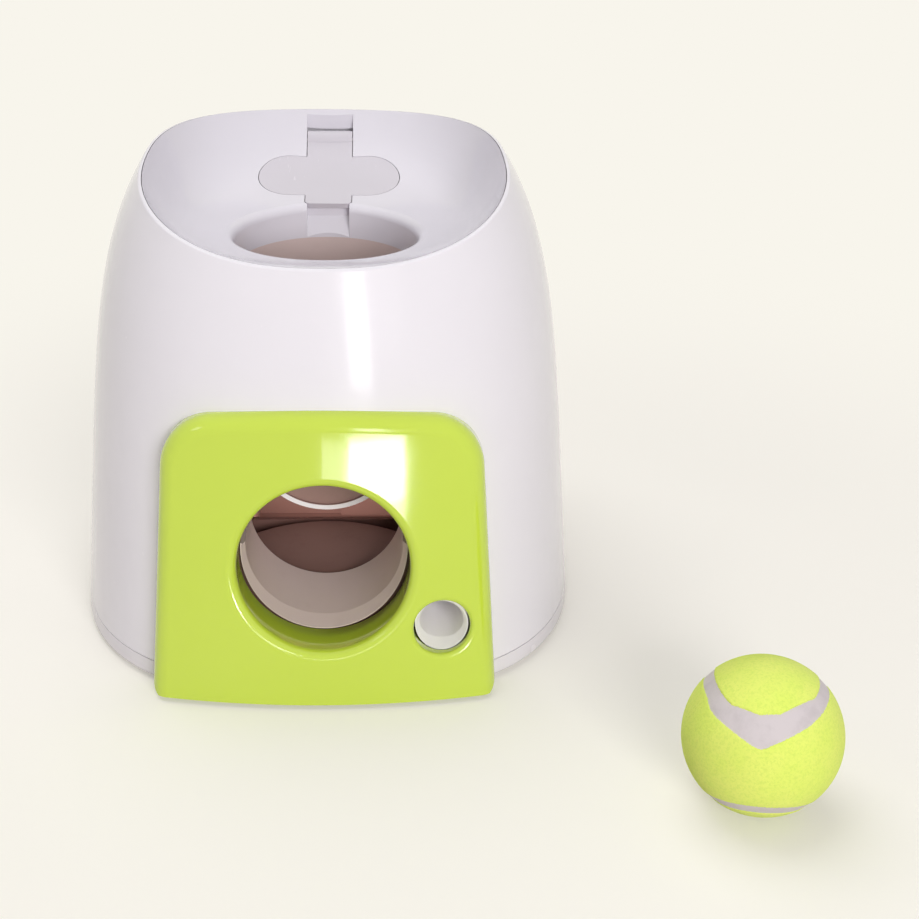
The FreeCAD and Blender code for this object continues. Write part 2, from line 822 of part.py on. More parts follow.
def top_bowl():
    radius, neck = cell("ball_hole_radius"), cell("neck_wall")
    centre = Vector(0, cell("ball_hole_y"), cell("neck_bottom"))
    rear = cell("ball_hole_y") + radius
    collar = Part.makeCylinder(radius + neck, 30, centre)
    block_half = cell("tab_half_width") + cell("groove_back")
    backing = Part.makeBox(2 * block_half, cell("groove_depth") + cell("groove_back"), 30,
                           Vector(-block_half, rear, cell("neck_bottom")))
    posts = []
    for spot in tube_screws():
        collar = collar.fuse(Part.makeCylinder(cell("boss_radius"), 30, spot + Vector(0, 0, cell("neck_bottom"))))
    posts.append(collar.fuse(backing))
    for spot in COVER_SCREWS:
        posts.append(Part.makeCylinder(cell("boss_radius"), 60, spot + Vector(0, 0, cell("cover_boss_bottom"))))
    for spot in hopper_screws():
        posts.append(Part.makeCylinder(cell("boss_radius"), 60, spot + Vector(0, 0, cell("hopper_ear_top"))))
    half = cell("tab_half_width") + cell("lid_gap")
    for side in (-1, 1):
        x = side * (half + cell("ear_width") / 2)
        posts.append(Part.makeBox(cell("ear_width"), 9, 40, Vector(x - cell("ear_width") / 2, cell("hinge_y") - 5, 185)))
    below = compound(posts).common(bowl_layer(1.0, 1.0, 1.0, 60.0))
    cover = bowl_layer(1.0, 0.0, 0.965, cell("bowl_skin")).fuse(below.Solids)
    cover = cover.cut(Part.makeCylinder(radius, 90, centre - Vector(0, 0, 20)))
    mouth = edges_where(cover, lambda point: abs(math.hypot(point.x, point.y - cell("ball_hole_y")) - radius) < 0.01
                        and abs(point.z - bowl_height(point.x, point.y)) < 0.08)
    cover = cover.makeFillet(cell("ball_hole_round"), mouth)
    ledge = cell("hopper_ledge")
    tools = [lid_prism(cell("lid_gap")).common(bowl_layer(1.0, -3.0, 1.0, cell("bowl_skin") + cell("lid_gap"))),
             pill(cell("lid_half_length") - ledge, cell("lid_half_width") - ledge, cell("lid_y"),
                  cell("neck_bottom"), FORM_TOP),
             hinge_rod(cell("knuckle_swing"), half), hinge_rod(cell("lid_pin_radius"), half + cell("ear_width")),
             Part.makeBox(2 * half, 2 * cell("knuckle_swing"), FORM_TOP,
                          Vector(-half, cell("hinge_y") - cell("knuckle_swing"), cell("hinge_height"))),
             finger_groove()]
    for spot in COVER_SCREWS + tube_screws() + hopper_screws():
        tools.append(Part.makeCylinder(cell("screw_radius"), 12,
                                       Vector(spot.x, spot.y, screw_start(spot))))
    return cover.cut(tools)


def screw_start(spot):
    if spot in COVER_SCREWS:
        return cell("cover_boss_bottom")
    return cell("neck_bottom") if spot in tube_screws() else cell("hopper_ear_top")


def tube_screws():
    reach = cell("ball_hole_radius") + cell("neck_wall") + cell("boss_radius") - 1
    return [Vector(reach * math.cos(math.radians(a)), cell("ball_hole_y") + reach * math.sin(math.radians(a)), 0)
            for a in (-90, 20, 160)]


def hopper_screws():
    return [Vector(side * (cell("lid_half_length") + 8), cell("lid_y"), 0) for side in (-1, 1)]


def finger_groove():
    """Hollow in the rear wall of the ball hole, under the lid's finger tab."""
    half, depth = cell("tab_half_width") - 1, cell("groove_depth")
    rear = cell("ball_hole_y") + cell("ball_hole_radius")
    low, high = cell("groove_bottom"), cell("bowl_floor_valley") + 6
    side = [Vector(-half, rear - 3, low - 3), Vector(-half, rear + depth, low + 8), Vector(-half, rear + depth, high),
            Vector(-half, rear - 3, high)]
    edges = [Part.makeLine(a, b) for a, b in zip(side, side[1:] + side[:1])]
    solid = Part.Face(Part.Wire(edges)).extrude(Vector(2 * half, 0, 0))
    return solid


def hopper_lid():
    plate = bowl_layer(1.0, 0.0, 1.0, cell("lid_thickness")).common(lid_prism(0))
    knuckle = hinge_rod(cell("knuckle_radius"), cell("tab_half_width"))
    lid = plate.fuse(knuckle)
    return lid.cut(hinge_rod(cell("lid_pin_radius") + cell("running_gap"), cell("tab_half_width") + 1))


def tray_boss(spot, low, high, radius):
    return Part.makeCylinder(radius, high - low, Vector(spot.x, spot.y, low))


CHANNEL_FOOT = cell("tray_bottom") + cell("tray_floor") + cell("channel_stand")
CHANNEL_SCREWS = [Vector(side * (cell("channel_half") + cell("channel_wall") + 6), y, 0)
                  for side in (-1, 1) for y in (-86.0, 12.0)]
FEET = [Vector(sx * cell("foot_x"), sy * cell("foot_y"), 0) for sx in (-1, 1) for sy in (-1, 1)]
CRADLES = (-45.0, 62.0)


def base_tray():
    low, seam = cell("tray_bottom"), cell("seam_height")
    floor = low + cell("tray_floor")
    lip_top = seam + cell("tray_lip_height")
    dish = form(0, low, seam, 3)
    dish = dish.makeFillet(1.5, edges_where(dish, lambda point: abs(point.z - low) < 0.01))
    lip_in = cell("wall") + cell("slip_gap")
    additions = [form(lip_in, floor - 1, lip_top, 3)]
    holes = [form(lip_in + cell("tray_lip_wall"), floor, lip_top + 1, 3)]
    tray = dish.fuse(additions).cut(holes)
    additions, holes = [], []
    for spot in BASE_SCREWS:
        additions.append(tray_boss(spot, low + 0.5, lip_top + 1, cell("boss_radius") + 1.5))
        holes.append(tray_boss(spot, low - 1, lip_top + 2, cell("screw_radius") + cell("screw_gap")))
        holes.append(tray_boss(spot, low - 1, cell("base_screw_seat"), cell("screw_head") + 0.5))
    for spot in CHANNEL_SCREWS:
        additions.append(tray_boss(spot, low + 0.5, CHANNEL_FOOT, cell("boss_radius")))
        holes.append(tray_boss(spot, low + 1, CHANNEL_FOOT + 1, cell("screw_radius")))
    for spot in FEET:
        additions.append(tray_boss(spot, low + 0.5, cell("foot_height") + cell("tray_floor"), cell("foot_radius") + 2))
        holes.append(tray_boss(spot, 0, cell("foot_height"), cell("foot_radius") + cell("screw_gap")))
    for y in CRADLES:
        post = Part.makeBox(10, 4, 90, Vector(cell("treat_x") - 5, y - 2, low + 0.5))
        above = Part.makeBox(20, 20, 120, Vector(cell("treat_x") - 10, y - 10, chute_height(y)))
        additions.append(post.cut([chute_rod(cell("chute_outer"), 0), above]))
    return tray.fuse(additions).cut(holes)


def chute_height(y):
    """Height of the treat chute's middle line at a place along Y."""
    tilt = math.radians(cell("panel_tilt"))
    front_y = cell("panel_foot_y") + cell("treat_up") * math.sin(tilt) + cell("chute_depth") * math.cos(tilt)
    front_z = cell("treat_up") * math.cos(tilt) - cell("chute_depth") * math.sin(tilt)
    return front_z + (y - front_y) * math.tan(math.radians(cell("chute_slope")))


def chute_rod(radius, short):
    """Cylinder along the treat chute, from in front of the panel to the chute's rear end."""
    slope = math.radians(cell("chute_slope"))
    start_y = cell("panel_foot_y") - 30
    length = (cell("chute_rear_y") - start_y) / math.cos(slope) - short
    start = Vector(cell("treat_x"), start_y, chute_height(start_y))
    return Part.makeCylinder(radius, length, start, Vector(0, math.cos(slope), math.sin(slope)))


def behind_panel(depth):
    """Everything further behind the panel's face than a depth."""
    size_of = 4 * REACH
    shape = Part.makeBox(size_of, size_of, size_of, Vector(-size_of / 2, -size_of / 2, -size_of - depth))
    return on_panel(shape, 0, 0)


def chute_flare():
    """Cone square to the panel that thins the chute's wall to a fine rim in front."""
    length, slope, depth = cell("chute_flare_length"), cell("chute_flare_slope"), cell("chute_depth")
    wide = cell("chute_outer") - cell("rim_wall")
    cone = Part.makeCone(wide - length * slope, wide + slope, length + 1)
    return on_panel(cone, cell("treat_x"), cell("treat_up") - cell("chute_flare_drop"), depth + length)


def treat_chute():
    outer, wall = cell("chute_outer"), cell("tray_wall")
    x, front, rear = cell("treat_x"), cell("tray_front_y"), cell("chute_rear_y")
    low, high = cell("catch_bottom"), cell("catch_top")
    rod = chute_rod(outer, 0).common(behind_panel(cell("chute_depth")))
    catch = Part.makeBox(2 * outer, rear - front, high - low, Vector(x - outer, front, low))
    inner = outer - wall
    hollow = Part.makeBox(2 * inner, rear - front - 2 * wall, 2 * (high - low),
                          Vector(x - inner, front + wall, chute_height((front + rear) / 2)))
    above = Part.makeBox(4 * outer, REACH, FORM_TOP, Vector(x - 2 * outer, front, high))
    return rod.fuse(catch).cut([chute_rod(inner, 2 * wall), hollow, above, chute_flare()])


def casing_front_y(x, z):
    share = z / cell("form_height")
    power = cell("corner_power_base") + (cell("corner_power_top") - cell("corner_power_base")) * share
    side = abs(x / form_half_width(z)) ** power
    return cell("centre_lean") * z - form_half_depth(z) * (1 - side) ** (1 / power)


def casing_depth(x, up):
    """Depth of the casing's outer face behind the panel's face."""
    tilt = math.radians(cell("panel_tilt"))
    depth = 5.0
    for _ in range(6):
        z = up * math.cos(tilt) - depth * math.sin(tilt)
        y = cell("panel_foot_y") + up * math.sin(tilt) + depth * math.cos(tilt)
        depth += (casing_front_y(x, z) - y) * math.cos(tilt)
    return depth


def front_panel():
    block = panel_block(0)
    radius, collar = cell("outlet_radius"), cell("collar_wall")
    treat_radius, treat_x, treat_up = cell("treat_hole_radius"), cell("treat_x"), cell("treat_up")
    casing = form(0, 0, FORM_TOP)
    over_tube = Part.makeBox(2 * REACH, 2 * REACH, FORM_TOP, Vector(-REACH, -2 * REACH, cell("exit_height")))
    at_channel = Part.makeBox(2 * REACH, REACH, FORM_TOP,
                              Vector(-REACH, cell("channel_front_y") - cell("skirt_gap"), 0))
    skirt = panel_bore(radius + collar, 0, cell("outlet_up"), -5, cell("outlet_skirt_depth"))
    skirt = skirt.cut([over_tube.common(behind_panel(cell("outlet_collar_depth"))), at_channel])
    collars = [skirt,
               panel_bore(treat_radius + collar, treat_x, treat_up, -5, cell("treat_collar_depth"))]
    bosses = [panel_bore(cell("boss_radius"), x, up, 1, 40) for x, up in PANEL_SCREWS]
    swing = Part.makeBox(2 * REACH, REACH, FORM_TOP, Vector(-REACH, cell("exit_open_y"), cell("exit_open_height")))
    collars = compound(collars).common(block).cut(swing)
    bosses = compound(bosses).common(block.cut(casing))
    skin = block.cut([panel_block(cell("panel_wall")), casing]).fuse(collars.Solids + bosses.Solids)
    bores = [panel_bore(radius, 0, cell("outlet_up"), -20, 60), panel_bore(treat_radius, treat_x, treat_up, -20, 60)]
    for x, up in PANEL_SCREWS:
        bores.append(panel_bore(cell("screw_radius"), x, up,
                                bow_back(x) + cell("panel_wall") + 1, 60))
    skin = skin.cut(bores)
    for reach, x, up, round_off in ((radius, 0, cell("outlet_up"), cell("outlet_round")),
                                    (treat_radius, treat_x, treat_up, cell("treat_round"))):
        frame = on_panel(Part.makeBox(1, 1, 1), x, up).Placement.inverse()
        mouth = edges_where(skin, lambda point: on_mouth(frame.multVec(point), reach, x))
        skin = skin.makeFillet(round_off, mouth)
    return skin


def on_mouth(point, reach, x):
    """True on the edge where a bore meets the panel's bowed face."""
    return abs(math.hypot(point.x, point.y) - reach) < 0.01 and abs(point.z + bow_back(point.x + x)) < 0.05


def treat_hopper():
    """Bin under the lid, funnel below it and the arched housing round the metering drum."""
    length = cell("lid_half_length") - cell("hopper_ledge")
    width = cell("lid_half_width") - cell("hopper_ledge")
    wall, drop, y = cell("hopper_wall"), cell("flange_drop"), cell("lid_y")
    reach = wall + cell("flange_reach")
    straight, throat = cell("hopper_straight"), cell("hopper_throat")
    drum_y, drum_z = float(DRUM_Y), cell("drum_height")
    across, along = cell("throat_half_length"), cell("throat_half_width")
    bin_outer = pill(length + wall, width + wall, y, straight, FORM_TOP).common(bowl_layer(0.965, drop, 0.965, 60.0))
    flange = pill(length + reach, width + reach, y, straight, FORM_TOP).common(
        bowl_layer(0.965, drop, 0.965, drop + cell("flange_thick")))
    notch = Part.makeBox(2 * (cell("tab_half_width") + cell("lid_gap") + cell("ear_width") + 1), 20, 60,
                         Vector(-cell("tab_half_width") - cell("lid_gap") - cell("ear_width") - 1,
                                cell("hinge_y") - 5.6, straight))
    flange = flange.cut(notch)
    funnel = Part.makeLoft([pill_wire(length + wall, width + wall, y, straight),
                            pill_wire(across + wall, along + wall, drum_y, throat)], True, True)
    neck = pill(across + wall, along + wall, drum_y, drum_z + 5, throat)
    cavity = cell("drum_radius") + cell("drum_gap")
    half = cell("drum_half") + cell("drum_end_gap")
    end = half + cell("end_wall")
    arch = x_rod(cavity + cell("arch_wall"), end, drum_y, drum_z)
    ears = []
    low, high = cell("hopper_ear_top") - cell("ear_thick"), cell("hopper_ear_top")
    for spot in hopper_screws():
        box = Part.makeBox(abs(spot.x) - length - 0.5, 2 * cell("boss_radius"), high - low,
                           Vector(min(spot.x, math.copysign(length + 0.5, spot.x)), spot.y - cell("boss_radius"), low))
        ears.append(box.fuse(tray_boss(spot, low, high, cell("boss_radius"))))
    solid = bin_outer.fuse([flange, funnel, neck, arch] + ears)
    tools = [pill(length, width, y, straight, FORM_TOP),
             Part.makeLoft([pill_wire(length, width, y, straight), pill_wire(across, along, drum_y, throat)], True, True),
             pill(across, along, drum_y, drum_z, throat), x_rod(cavity, half, drum_y, drum_z),
             Part.makeBox(2 * half, 80, 60, Vector(-half, drum_y - 40, drum_z - 60 - cell("arch_skirt"))),
             Part.makeBox(120, 80, 60, Vector(-60, drum_y - 40, drum_z - 60 - cell("end_skirt"))),
             x_rod(cell("shaft_radius") + cell("running_gap") + cell("bush_wall"), end + 1, drum_y, drum_z)]
    for spot in hopper_screws():
        tools.append(tray_boss(spot, low - 1, high + 1, cell("screw_radius") + cell("screw_gap")))
    return solid.cut(tools)


def pill_wire(half_length, half_width, centre_y, z):
    prism_face = max(pill(half_length, half_width, centre_y, z - 1, z).Faces, key=lambda face: face.CenterOfMass.z)
    return prism_face.OuterWire


def x_rod(radius, half, y, z):
    return Part.makeCylinder(radius, 2 * half, Vector(-half, y, z), Vector(1, 0, 0))


# Gears, with involute flanks

def gear_tooth(teeth, centre_angle):
    """Points of one tooth about the origin, from the root on one side to the root on the other."""
    module = cell("gear_module")
    pitch = module * teeth / 2
    pressure = math.radians(20)
    base = pitch * math.cos(pressure)
    low, high = pitch - 1.25 * module, pitch + module
    half = math.pi / (2 * teeth) - cell("gear_backlash") / (4 * pitch)
    start = max(base, low)
    flank = []
    for step in range(6):
        radius = start + (high - start) * step / 5
        lean = math.acos(base / radius)
        angle = half + math.tan(pressure) - pressure - math.tan(lean) + lean
        flank.append((radius, angle))
    if low < base:
        flank.insert(0, (low, flank[0][1]))
    points = [(radius, centre_angle - angle) for radius, angle in flank]
    points += [(radius, centre_angle + angle) for radius, angle in reversed(flank)]
    return points


def gear_solid(points, x, y, z):
    """Plate cut to a closed outline of polar points, standing across the X axis."""
    spots = [Vector(x, y + radius * math.cos(angle), z + radius * math.sin(angle)) for radius, angle in points]
    wire = Part.makePolygon(spots + spots[:1])
    return Part.Face(wire).extrude(Vector(cell("gear_width"), 0, 0))


def mesh_angle():
    return math.atan2(float(GEAR_RISE), float(DRUM_Y) - cell("pivot_y"))


def sector_gear():
    teeth = int(cell("sector_teeth"))
    x, y, z = cell("gear_x"), cell("pivot_y"), cell("pivot_height")
    pitch_angle = 2 * math.pi / teeth
    swing = math.radians(cell("paddle_swing"))
    below = int(swing / pitch_angle) + 3
    points = []
    for index in range(-below, 4):
        points += gear_tooth(teeth, mesh_angle() + index * pitch_angle)
    first, last = points[0][1] - pitch_angle / 4, points[-1][1] + pitch_angle / 4
    rim = cell("gear_module") * (teeth / 2 - 1.25)
    hub = cell("sector_hub")
    fan = gear_solid([(hub, last + 0.3), (hub, first - 0.3), (rim, first)] + points + [(rim, last)], x, y, z)
    inner, outer = hub + 12, rim - 7
    window = [(inner, first + 0.22), (outer, first + 0.09)]
    steps = 8
    for step in range(1, steps):
        window.append((outer, first + 0.09 + (last - first - 0.18) * step / steps))
    window += [(outer, last - 0.09), (inner, last - 0.22)]
    boss = Part.makeCylinder(hub, cell("gear_width") + 3, Vector(x - 1.5, y, z), Vector(1, 0, 0))
    bore = Part.makeCylinder(cell("shaft_radius"), 30, Vector(x - 15, y, z), Vector(1, 0, 0))
    return fan.cut(gear_solid(window, x, y, z)).fuse(boss).cut(bore)


def drum_pinion():
    teeth = int(cell("pinion_teeth"))
    x, y, z = cell("gear_x"), float(DRUM_Y), cell("drum_height")
    pitch_angle = 2 * math.pi / teeth
    points = []
    for index in range(teeth):
        points += gear_tooth(teeth, mesh_angle() + math.pi + (index + 0.5) * pitch_angle)
    width = cell("gear_width")
    boss = Part.makeCylinder(cell("hub_radius") + 1, 4, Vector(x + width, y, z), Vector(1, 0, 0))
    bore = Part.makeCylinder(cell("shaft_radius"), 30, Vector(x - 15, y, z), Vector(1, 0, 0))
    return gear_solid(points, x, y, z).fuse(boss).cut(bore)


def paddle_spring():
    """Torsion spring round the paddle's shaft, one leg under the plate and one in the channel's rear wall."""
    wire, radius = cell("spring_wire"), cell("spring_radius")
    left, right = cell("spring_left_x") + wire, cell("spring_right_x") - wire
    turns = cell("spring_turns")
    y, z = cell("pivot_y"), cell("pivot_height")
    leg, under = cell("spring_leg"), cell("paddle_thick") / 2 + wire + 2 * cell("slip_gap")
    lean = math.acos(under / math.hypot(radius, leg)) - math.atan(leg / radius)
    sweep = 2 * math.pi * turns + math.radians(cell("paddle_rest")) + lean
    steps = int(turns * 12)
    points = []
    for step in range(steps + 1):
        angle = math.radians(90) + sweep * step / steps
        points.append(Vector(left + (right - left) * step / steps, y + radius * math.cos(angle), z - radius * math.sin(angle)))
    start, end = points[0], points[-1]
    curve = Part.BSplineCurve()
    curve.interpolate(Points=points)
    coil = curve.toShape()
    tangents = [coil.tangentAt(coil.FirstParameter), coil.tangentAt(coil.LastParameter)]
    legs = [Part.makeLine(start - tangents[0] * cell("spring_anchor"), start),
            Part.makeLine(end, end + tangents[1] * leg)]
    path = Part.Wire([legs[0], coil, legs[1]])
    ring = Part.Wire(Part.makeCircle(wire, legs[0].valueAt(0), tangents[0]))
    return path.makePipeShell([ring], True, False)


# Ball

def seam_rotation():
    return Rotation(Vector(-0.241, 0.733, 0.636), cell("seam_turn"))


def seam_pipe(radius, reach):
    """Ring that follows the seam of the ball."""
    share, count = cell("seam_share"), 72
    turn = seam_rotation()
    centre = Vector(cell("ball_x"), cell("ball_y"), cell("ball_radius"))
    points = []
    for step in range(count):
        angle = 2 * math.pi * step / count
        spot = Vector((1 - share) * math.cos(angle) + share * math.cos(3 * angle),
                      (1 - share) * math.sin(angle) - share * math.sin(3 * angle),
                      2 * math.sqrt(share * (1 - share)) * math.sin(2 * angle))
        points.append(centre + turn.multVec(spot) * (reach / spot.Length))
    curve = Part.BSplineCurve()
    curve.interpolate(Points=points, PeriodicFlag=True)
    edge = curve.toShape()
    rings = []
    for step in range(48):
        place_on = edge.FirstParameter + (edge.LastParameter - edge.FirstParameter) * step / 48
        spot, along = edge.valueAt(place_on), edge.tangentAt(place_on)
        outward = (spot - centre).normalize()
        sideways = along.cross(outward).normalize()
        frame = FreeCAD.Matrix(outward.x, sideways.x, along.x, spot.x, outward.y, sideways.y, along.y, spot.y,
                               outward.z, sideways.z, along.z, spot.z, 0, 0, 0, 1)
        corners = [Vector(sx * radius * 2, sy * radius, 0) for sx, sy in ((-1, -1), (1, -1), (1, 1), (-1, 1))]
        rings.append([frame.multVec(corner) for corner in corners])
    skins = []
    for first in range(4):
        curves = []
        for corner in (first, (first + 1) % 4):
            track = Part.BSplineCurve()
            track.interpolate(Points=[ring_corners[corner] for ring_corners in rings], PeriodicFlag=True)
            curves.append(track.toShape())
        skins.append(Part.makeRuledSurface(curves[0], curves[1]))
    shell = Part.Shell([face for skin in skins for face in skin.Faces])
    shell.sewShape()
    solid = Part.Solid(shell)
    if solid.Volume < 0:
        solid.reverse()
    return solid


def ball_shell(outer, inner, pole):
    centre = Vector(cell("ball_x"), cell("ball_y"), cell("ball_radius"))
    pole = seam_rotation().multVec(pole)
    return Part.makeSphere(outer, centre, pole).cut(Part.makeSphere(inner, centre, pole))


def ball_felt():
    outer, inner = cell("ball_radius"), cell("ball_radius") - cell("felt")
    groove = seam_pipe(cell("ball_seam") + cell("slip_gap"), (outer + inner) / 2)
    return ball_shell(outer, inner, Vector(1, 0, 0)).cut(groove)


def ball_seam():
    outer, inner = cell("ball_radius"), cell("ball_radius") - cell("felt")
    shell = ball_shell(outer - cell("seam_sink"), inner + cell("slip_gap"), Vector(0, 0, 1))
    return shell.common(seam_pipe(cell("ball_seam"), (outer + inner) / 2))


# Pieces of the machine

RISE = S.tray_bottom + S.tray_floor + S.channel_stand
OUTER = S.channel_half + S.channel_wall
LEFT_REACH = S.tab_half_width + S.lid_gap + S.ear_width
LEVEL = Vector(1, 0, 0)


def panel_spot(x, up, depth):
    """Point of the panel's own frame, given in sizes."""
    tilt = S.panel_tilt
    return (size(x), S.panel_foot_y + size(up) * sine(tilt) + size(depth) * cosine(tilt),
            size(up) * cosine(tilt) - size(depth) * sine(tilt))


def panel_box(name, depth):
    """Everything further in front of the panel's frame than a depth."""
    piece = doc.addObject("Part::Box", name)
    for prop, amount in (("Length", 200), ("Width", 400), ("Height", 150)):
        bind(piece, prop, amount)
    return place(piece, panel_spot(-100, -100, depth), (LEVEL, 90 - S.panel_tilt))


def exit_rod(name, radius, length=size(200)):
    """Cylinder along the ball's way out."""
    piece = doc.addObject("Part::Cylinder", name)
    bind(piece, "Radius", radius)
    bind(piece, "Height", length)
    spot = (0, S.exit_front_y - 100 * cosine(S.exit_slope), S.exit_height - 100 * sine(S.exit_slope))
    return place(piece, spot, (LEVEL, S.exit_slope - 90))


def ring(name, outer, inner, low, high, y, z):
    """Washer across the X axis, between two places along it."""
    solid = cylinder(name + "_outer", outer, size(high) - size(low), (low, y, z), "x")
    bore = cylinder(name + "_bore", inner, size(high) - size(low), (low, y, z), "x")
    return cut(name, solid, bore)


def screw(name, spot, turn, length):
    """Pan head screw whose head sits on a point, with the shank along its own Z axis."""
    parts = []
    for suffix, radius, low, high in (("shank", S.screw_radius, size(0), size(length)),
                                      ("head", S.screw_head, -S.screw_head_height, size(0)),
                                      ("socket", S.screw_socket, -S.screw_head_height, -S.screw_head_height / 2)):
        piece = doc.addObject("Part::Cylinder", "%s_%s" % (name, suffix))
        bind(piece, "Radius", radius)
        bind(piece, "Height", high - low)
        place(piece, (0, 0, low))
        parts.append(piece)
    whole = cut(name, fuse(name + "_solid", parts[0], parts[1]), parts[2])
    whole.Placement = Placement(Vector(*[float(c) for c in spot]), turn)
    return whole


def screws(label, spots, turn, length):
    """One node with a screw at each spot."""
    lengths = length if isinstance(length, list) else [length] * len(spots)
    group = [screw("%s_%d" % (label, i), spot, turn, reach) for i, (spot, reach) in enumerate(zip(spots, lengths))]
    return node(fuse(label, *group), label)


def at_height(spots, z):
    return [Vector(spot.x, spot.y, float(size(z))) for spot in spots]


UPWARD = Rotation()
DOWNWARD = Rotation(LEVEL, 180)

feature("body_shell", body_shell())
feature("top_bowl", top_bowl())
feature("hopper_lid", hopper_lid())
feature("front_panel", front_panel())
feature("base_tray", base_tray())
feature("treat_hopper", treat_hopper())
feature("treat_chute", treat_chute())

node(cylinder("lid_pin", S.lid_pin_radius, 2 * LEFT_REACH, (-LEFT_REACH, S.hinge_y, S.hinge_height), "x"), "lid_pin")

# Drop tube, turned about the middle of the ball hole
drop_tube = new_body("drop_tube")
flange_low = S.neck_bottom - S.drop_flange_thick
flange_out = S.ball_hole_radius + S.tube_wall + S.drop_flange
profile = sketch(drop_tube, "XZ_Plane")
outline(profile, [(S.drop_low_radius, S.drop_bottom), (S.drop_low_radius + S.tube_wall, S.drop_bottom),
                  (S.ball_hole_radius + S.tube_wall, flange_low), (flange_out, flange_low),
                  (flange_out, S.neck_bottom), (S.ball_hole_radius, S.neck_bottom)])
turned(drop_tube, profile)
holes = sketch(drop_tube, "XY_Plane", S.neck_bottom)
for spot in tube_screws():
    circle(holes, spot.x, spot.y - cell("ball_hole_y"), S.screw_radius + S.screw_gap)
pocket(drop_tube, holes, S.drop_flange_thick + 1)
flat = sketch(drop_tube, "XY_Plane", S.neck_bottom)
flat_y = S.lid_y - S.lid_half_width + S.hopper_ledge - S.hopper_wall - 1.5 - S.ball_hole_y
rectangle(flat, (-flange_out, flat_y), (flange_out, flange_out + 1))
pocket(drop_tube, flat, S.drop_flange_thick + 1)
place(drop_tube, (0, S.ball_hole_y, 0))

# Exit tube: a full ring in front with a fine rim, an open trough behind where the flap swings
front_depth = S.outlet_collar_depth + S.slip_gap
rise = tangent(S.exit_slope)
rim_up = ((S.exit_height + (S.panel_foot_y - S.exit_front_y + front_depth * cosine(S.panel_tilt)) * rise
           + front_depth * sine(S.panel_tilt)) / (cosine(S.panel_tilt) - sine(S.panel_tilt) * rise))
flare = doc.addObject("Part::Cone", "exit_flare")
bind(flare, "Radius1", S.exit_outer - S.rim_wall - S.exit_flare_length * S.exit_flare_slope)
bind(flare, "Radius2", S.exit_outer - S.rim_wall + S.exit_flare_slope)
bind(flare, "Height", S.exit_flare_length + 1)
place(flare, panel_spot(0, rim_up - S.exit_flare_drop, front_depth + S.exit_flare_length), (LEVEL, 90 - S.panel_tilt))
tube_cut = cut("exit_tube", exit_rod("exit_outside", S.exit_outer), exit_rod("exit_inside", S.exit_outer - S.tube_wall),
               panel_box("exit_front", front_depth), flare,
               block("exit_behind", (-100, S.exit_rear_y, 0), (100, 200, 200)),
               block("exit_open", (-100, S.exit_open_y, S.exit_open_height), (100, 200, 200)))
node(tube_cut, "exit_tube")

# Channel that carries the flap, the paddle and the treat tray
walls = []
for side, low, high in (("left", -OUTER, -S.channel_half), ("right", S.channel_half, OUTER)):
    walls.append(block("wall_" + side, (low, S.saddle_end_y, RISE), (high, S.channel_back_y + S.channel_wall, S.channel_top)))
    walls.append(block("saddle_" + side, (low, S.channel_front_y, RISE), (high, S.saddle_end_y, S.saddle_top)))
saddle_rod = exit_rod("saddle_rod", S.exit_outer, 100 + (S.exit_rear_y - S.exit_front_y) / cosine(S.exit_slope) + 1)
ribs = [block("rib_front", (-S.channel_half, S.channel_front_y + 2, RISE), (S.channel_half, S.channel_front_y + 2 + S.saddle_rib, S.saddle_top)),
        block("rib_rear", (-S.channel_half, S.exit_rear_y - 4 - S.saddle_rib, RISE), (S.channel_half, S.exit_rear_y - 4, S.saddle_top))]
ribs = cut("saddle_ribs", fuse("rib_pair", *ribs), saddle_rod)
base_rear = S.post_y + S.post_half
walls.append(block("channel_floor", (-OUTER, S.channel_front_y, RISE), (OUTER, base_rear, RISE + S.channel_base)))
walls.append(block("channel_back", (-OUTER, S.channel_back_y, RISE), (OUTER, S.channel_back_y + S.channel_wall, S.channel_top)))
walls.append(block("channel_step", (S.step_x, S.channel_back_y - S.step_depth, RISE), (S.channel_half, S.channel_back_y, S.step_top)))
slab = doc.addObject("Part::Box", "ramp_slab")
bind(slab, "Length", 2 * S.channel_half)
bind(slab, "Width", 60)
bind(slab, "Height", S.ramp_plate)
place(slab, (-S.channel_half, S.ramp_front_y + S.ramp_plate * sine(S.ramp_slope),
             S.ramp_front_height - S.ramp_plate * cosine(S.ramp_slope)), (LEVEL, S.ramp_slope))
ramp = doc.addObject("Part::Common", "ramp")
ramp.Base = slab
ramp.Tool = cylinder("ramp_round", S.ramp_arc, 60, (0, S.ramp_rear_y - S.ramp_arc, 0))
falls = S.paddle_swing - S.paddle_rest
stop_top = S.pivot_height - (S.pivot_y - S.stop_y) * tangent(falls) - S.paddle_thick / 2 / cosine(falls) - S.stop_gap
lower_stop = block("lower_stop", (-S.channel_half, S.stop_y, stop_top - 8), (S.channel_half, S.stop_y + S.stop_width, stop_top))
upper_low = (S.pivot_height + (S.pivot_y - S.upper_stop_y) * tangent(S.paddle_rest)
             + S.paddle_thick / 2 / cosine(S.paddle_rest) + S.stop_gap)
upper = [block("upper_stop_" + side, (low, S.upper_stop_y, upper_low), (high, S.upper_stop_y + 4, upper_low + 4))
         for side, low, high in (("left", -S.channel_half, -S.paddle_half + 4), ("right", S.paddle_half - 4, S.channel_half))]
stop_front = S.flap_y + S.flap_thick / 2 + S.stop_gap
upper += [block("flap_stop_" + side, (low, stop_front, S.flap_stop_height), (high, stop_front + 3, S.flap_stop_height + 4))
          for side, low, high in (("left", -S.channel_half, -S.paddle_half + 2), ("right", S.paddle_half - 2, S.channel_half))]
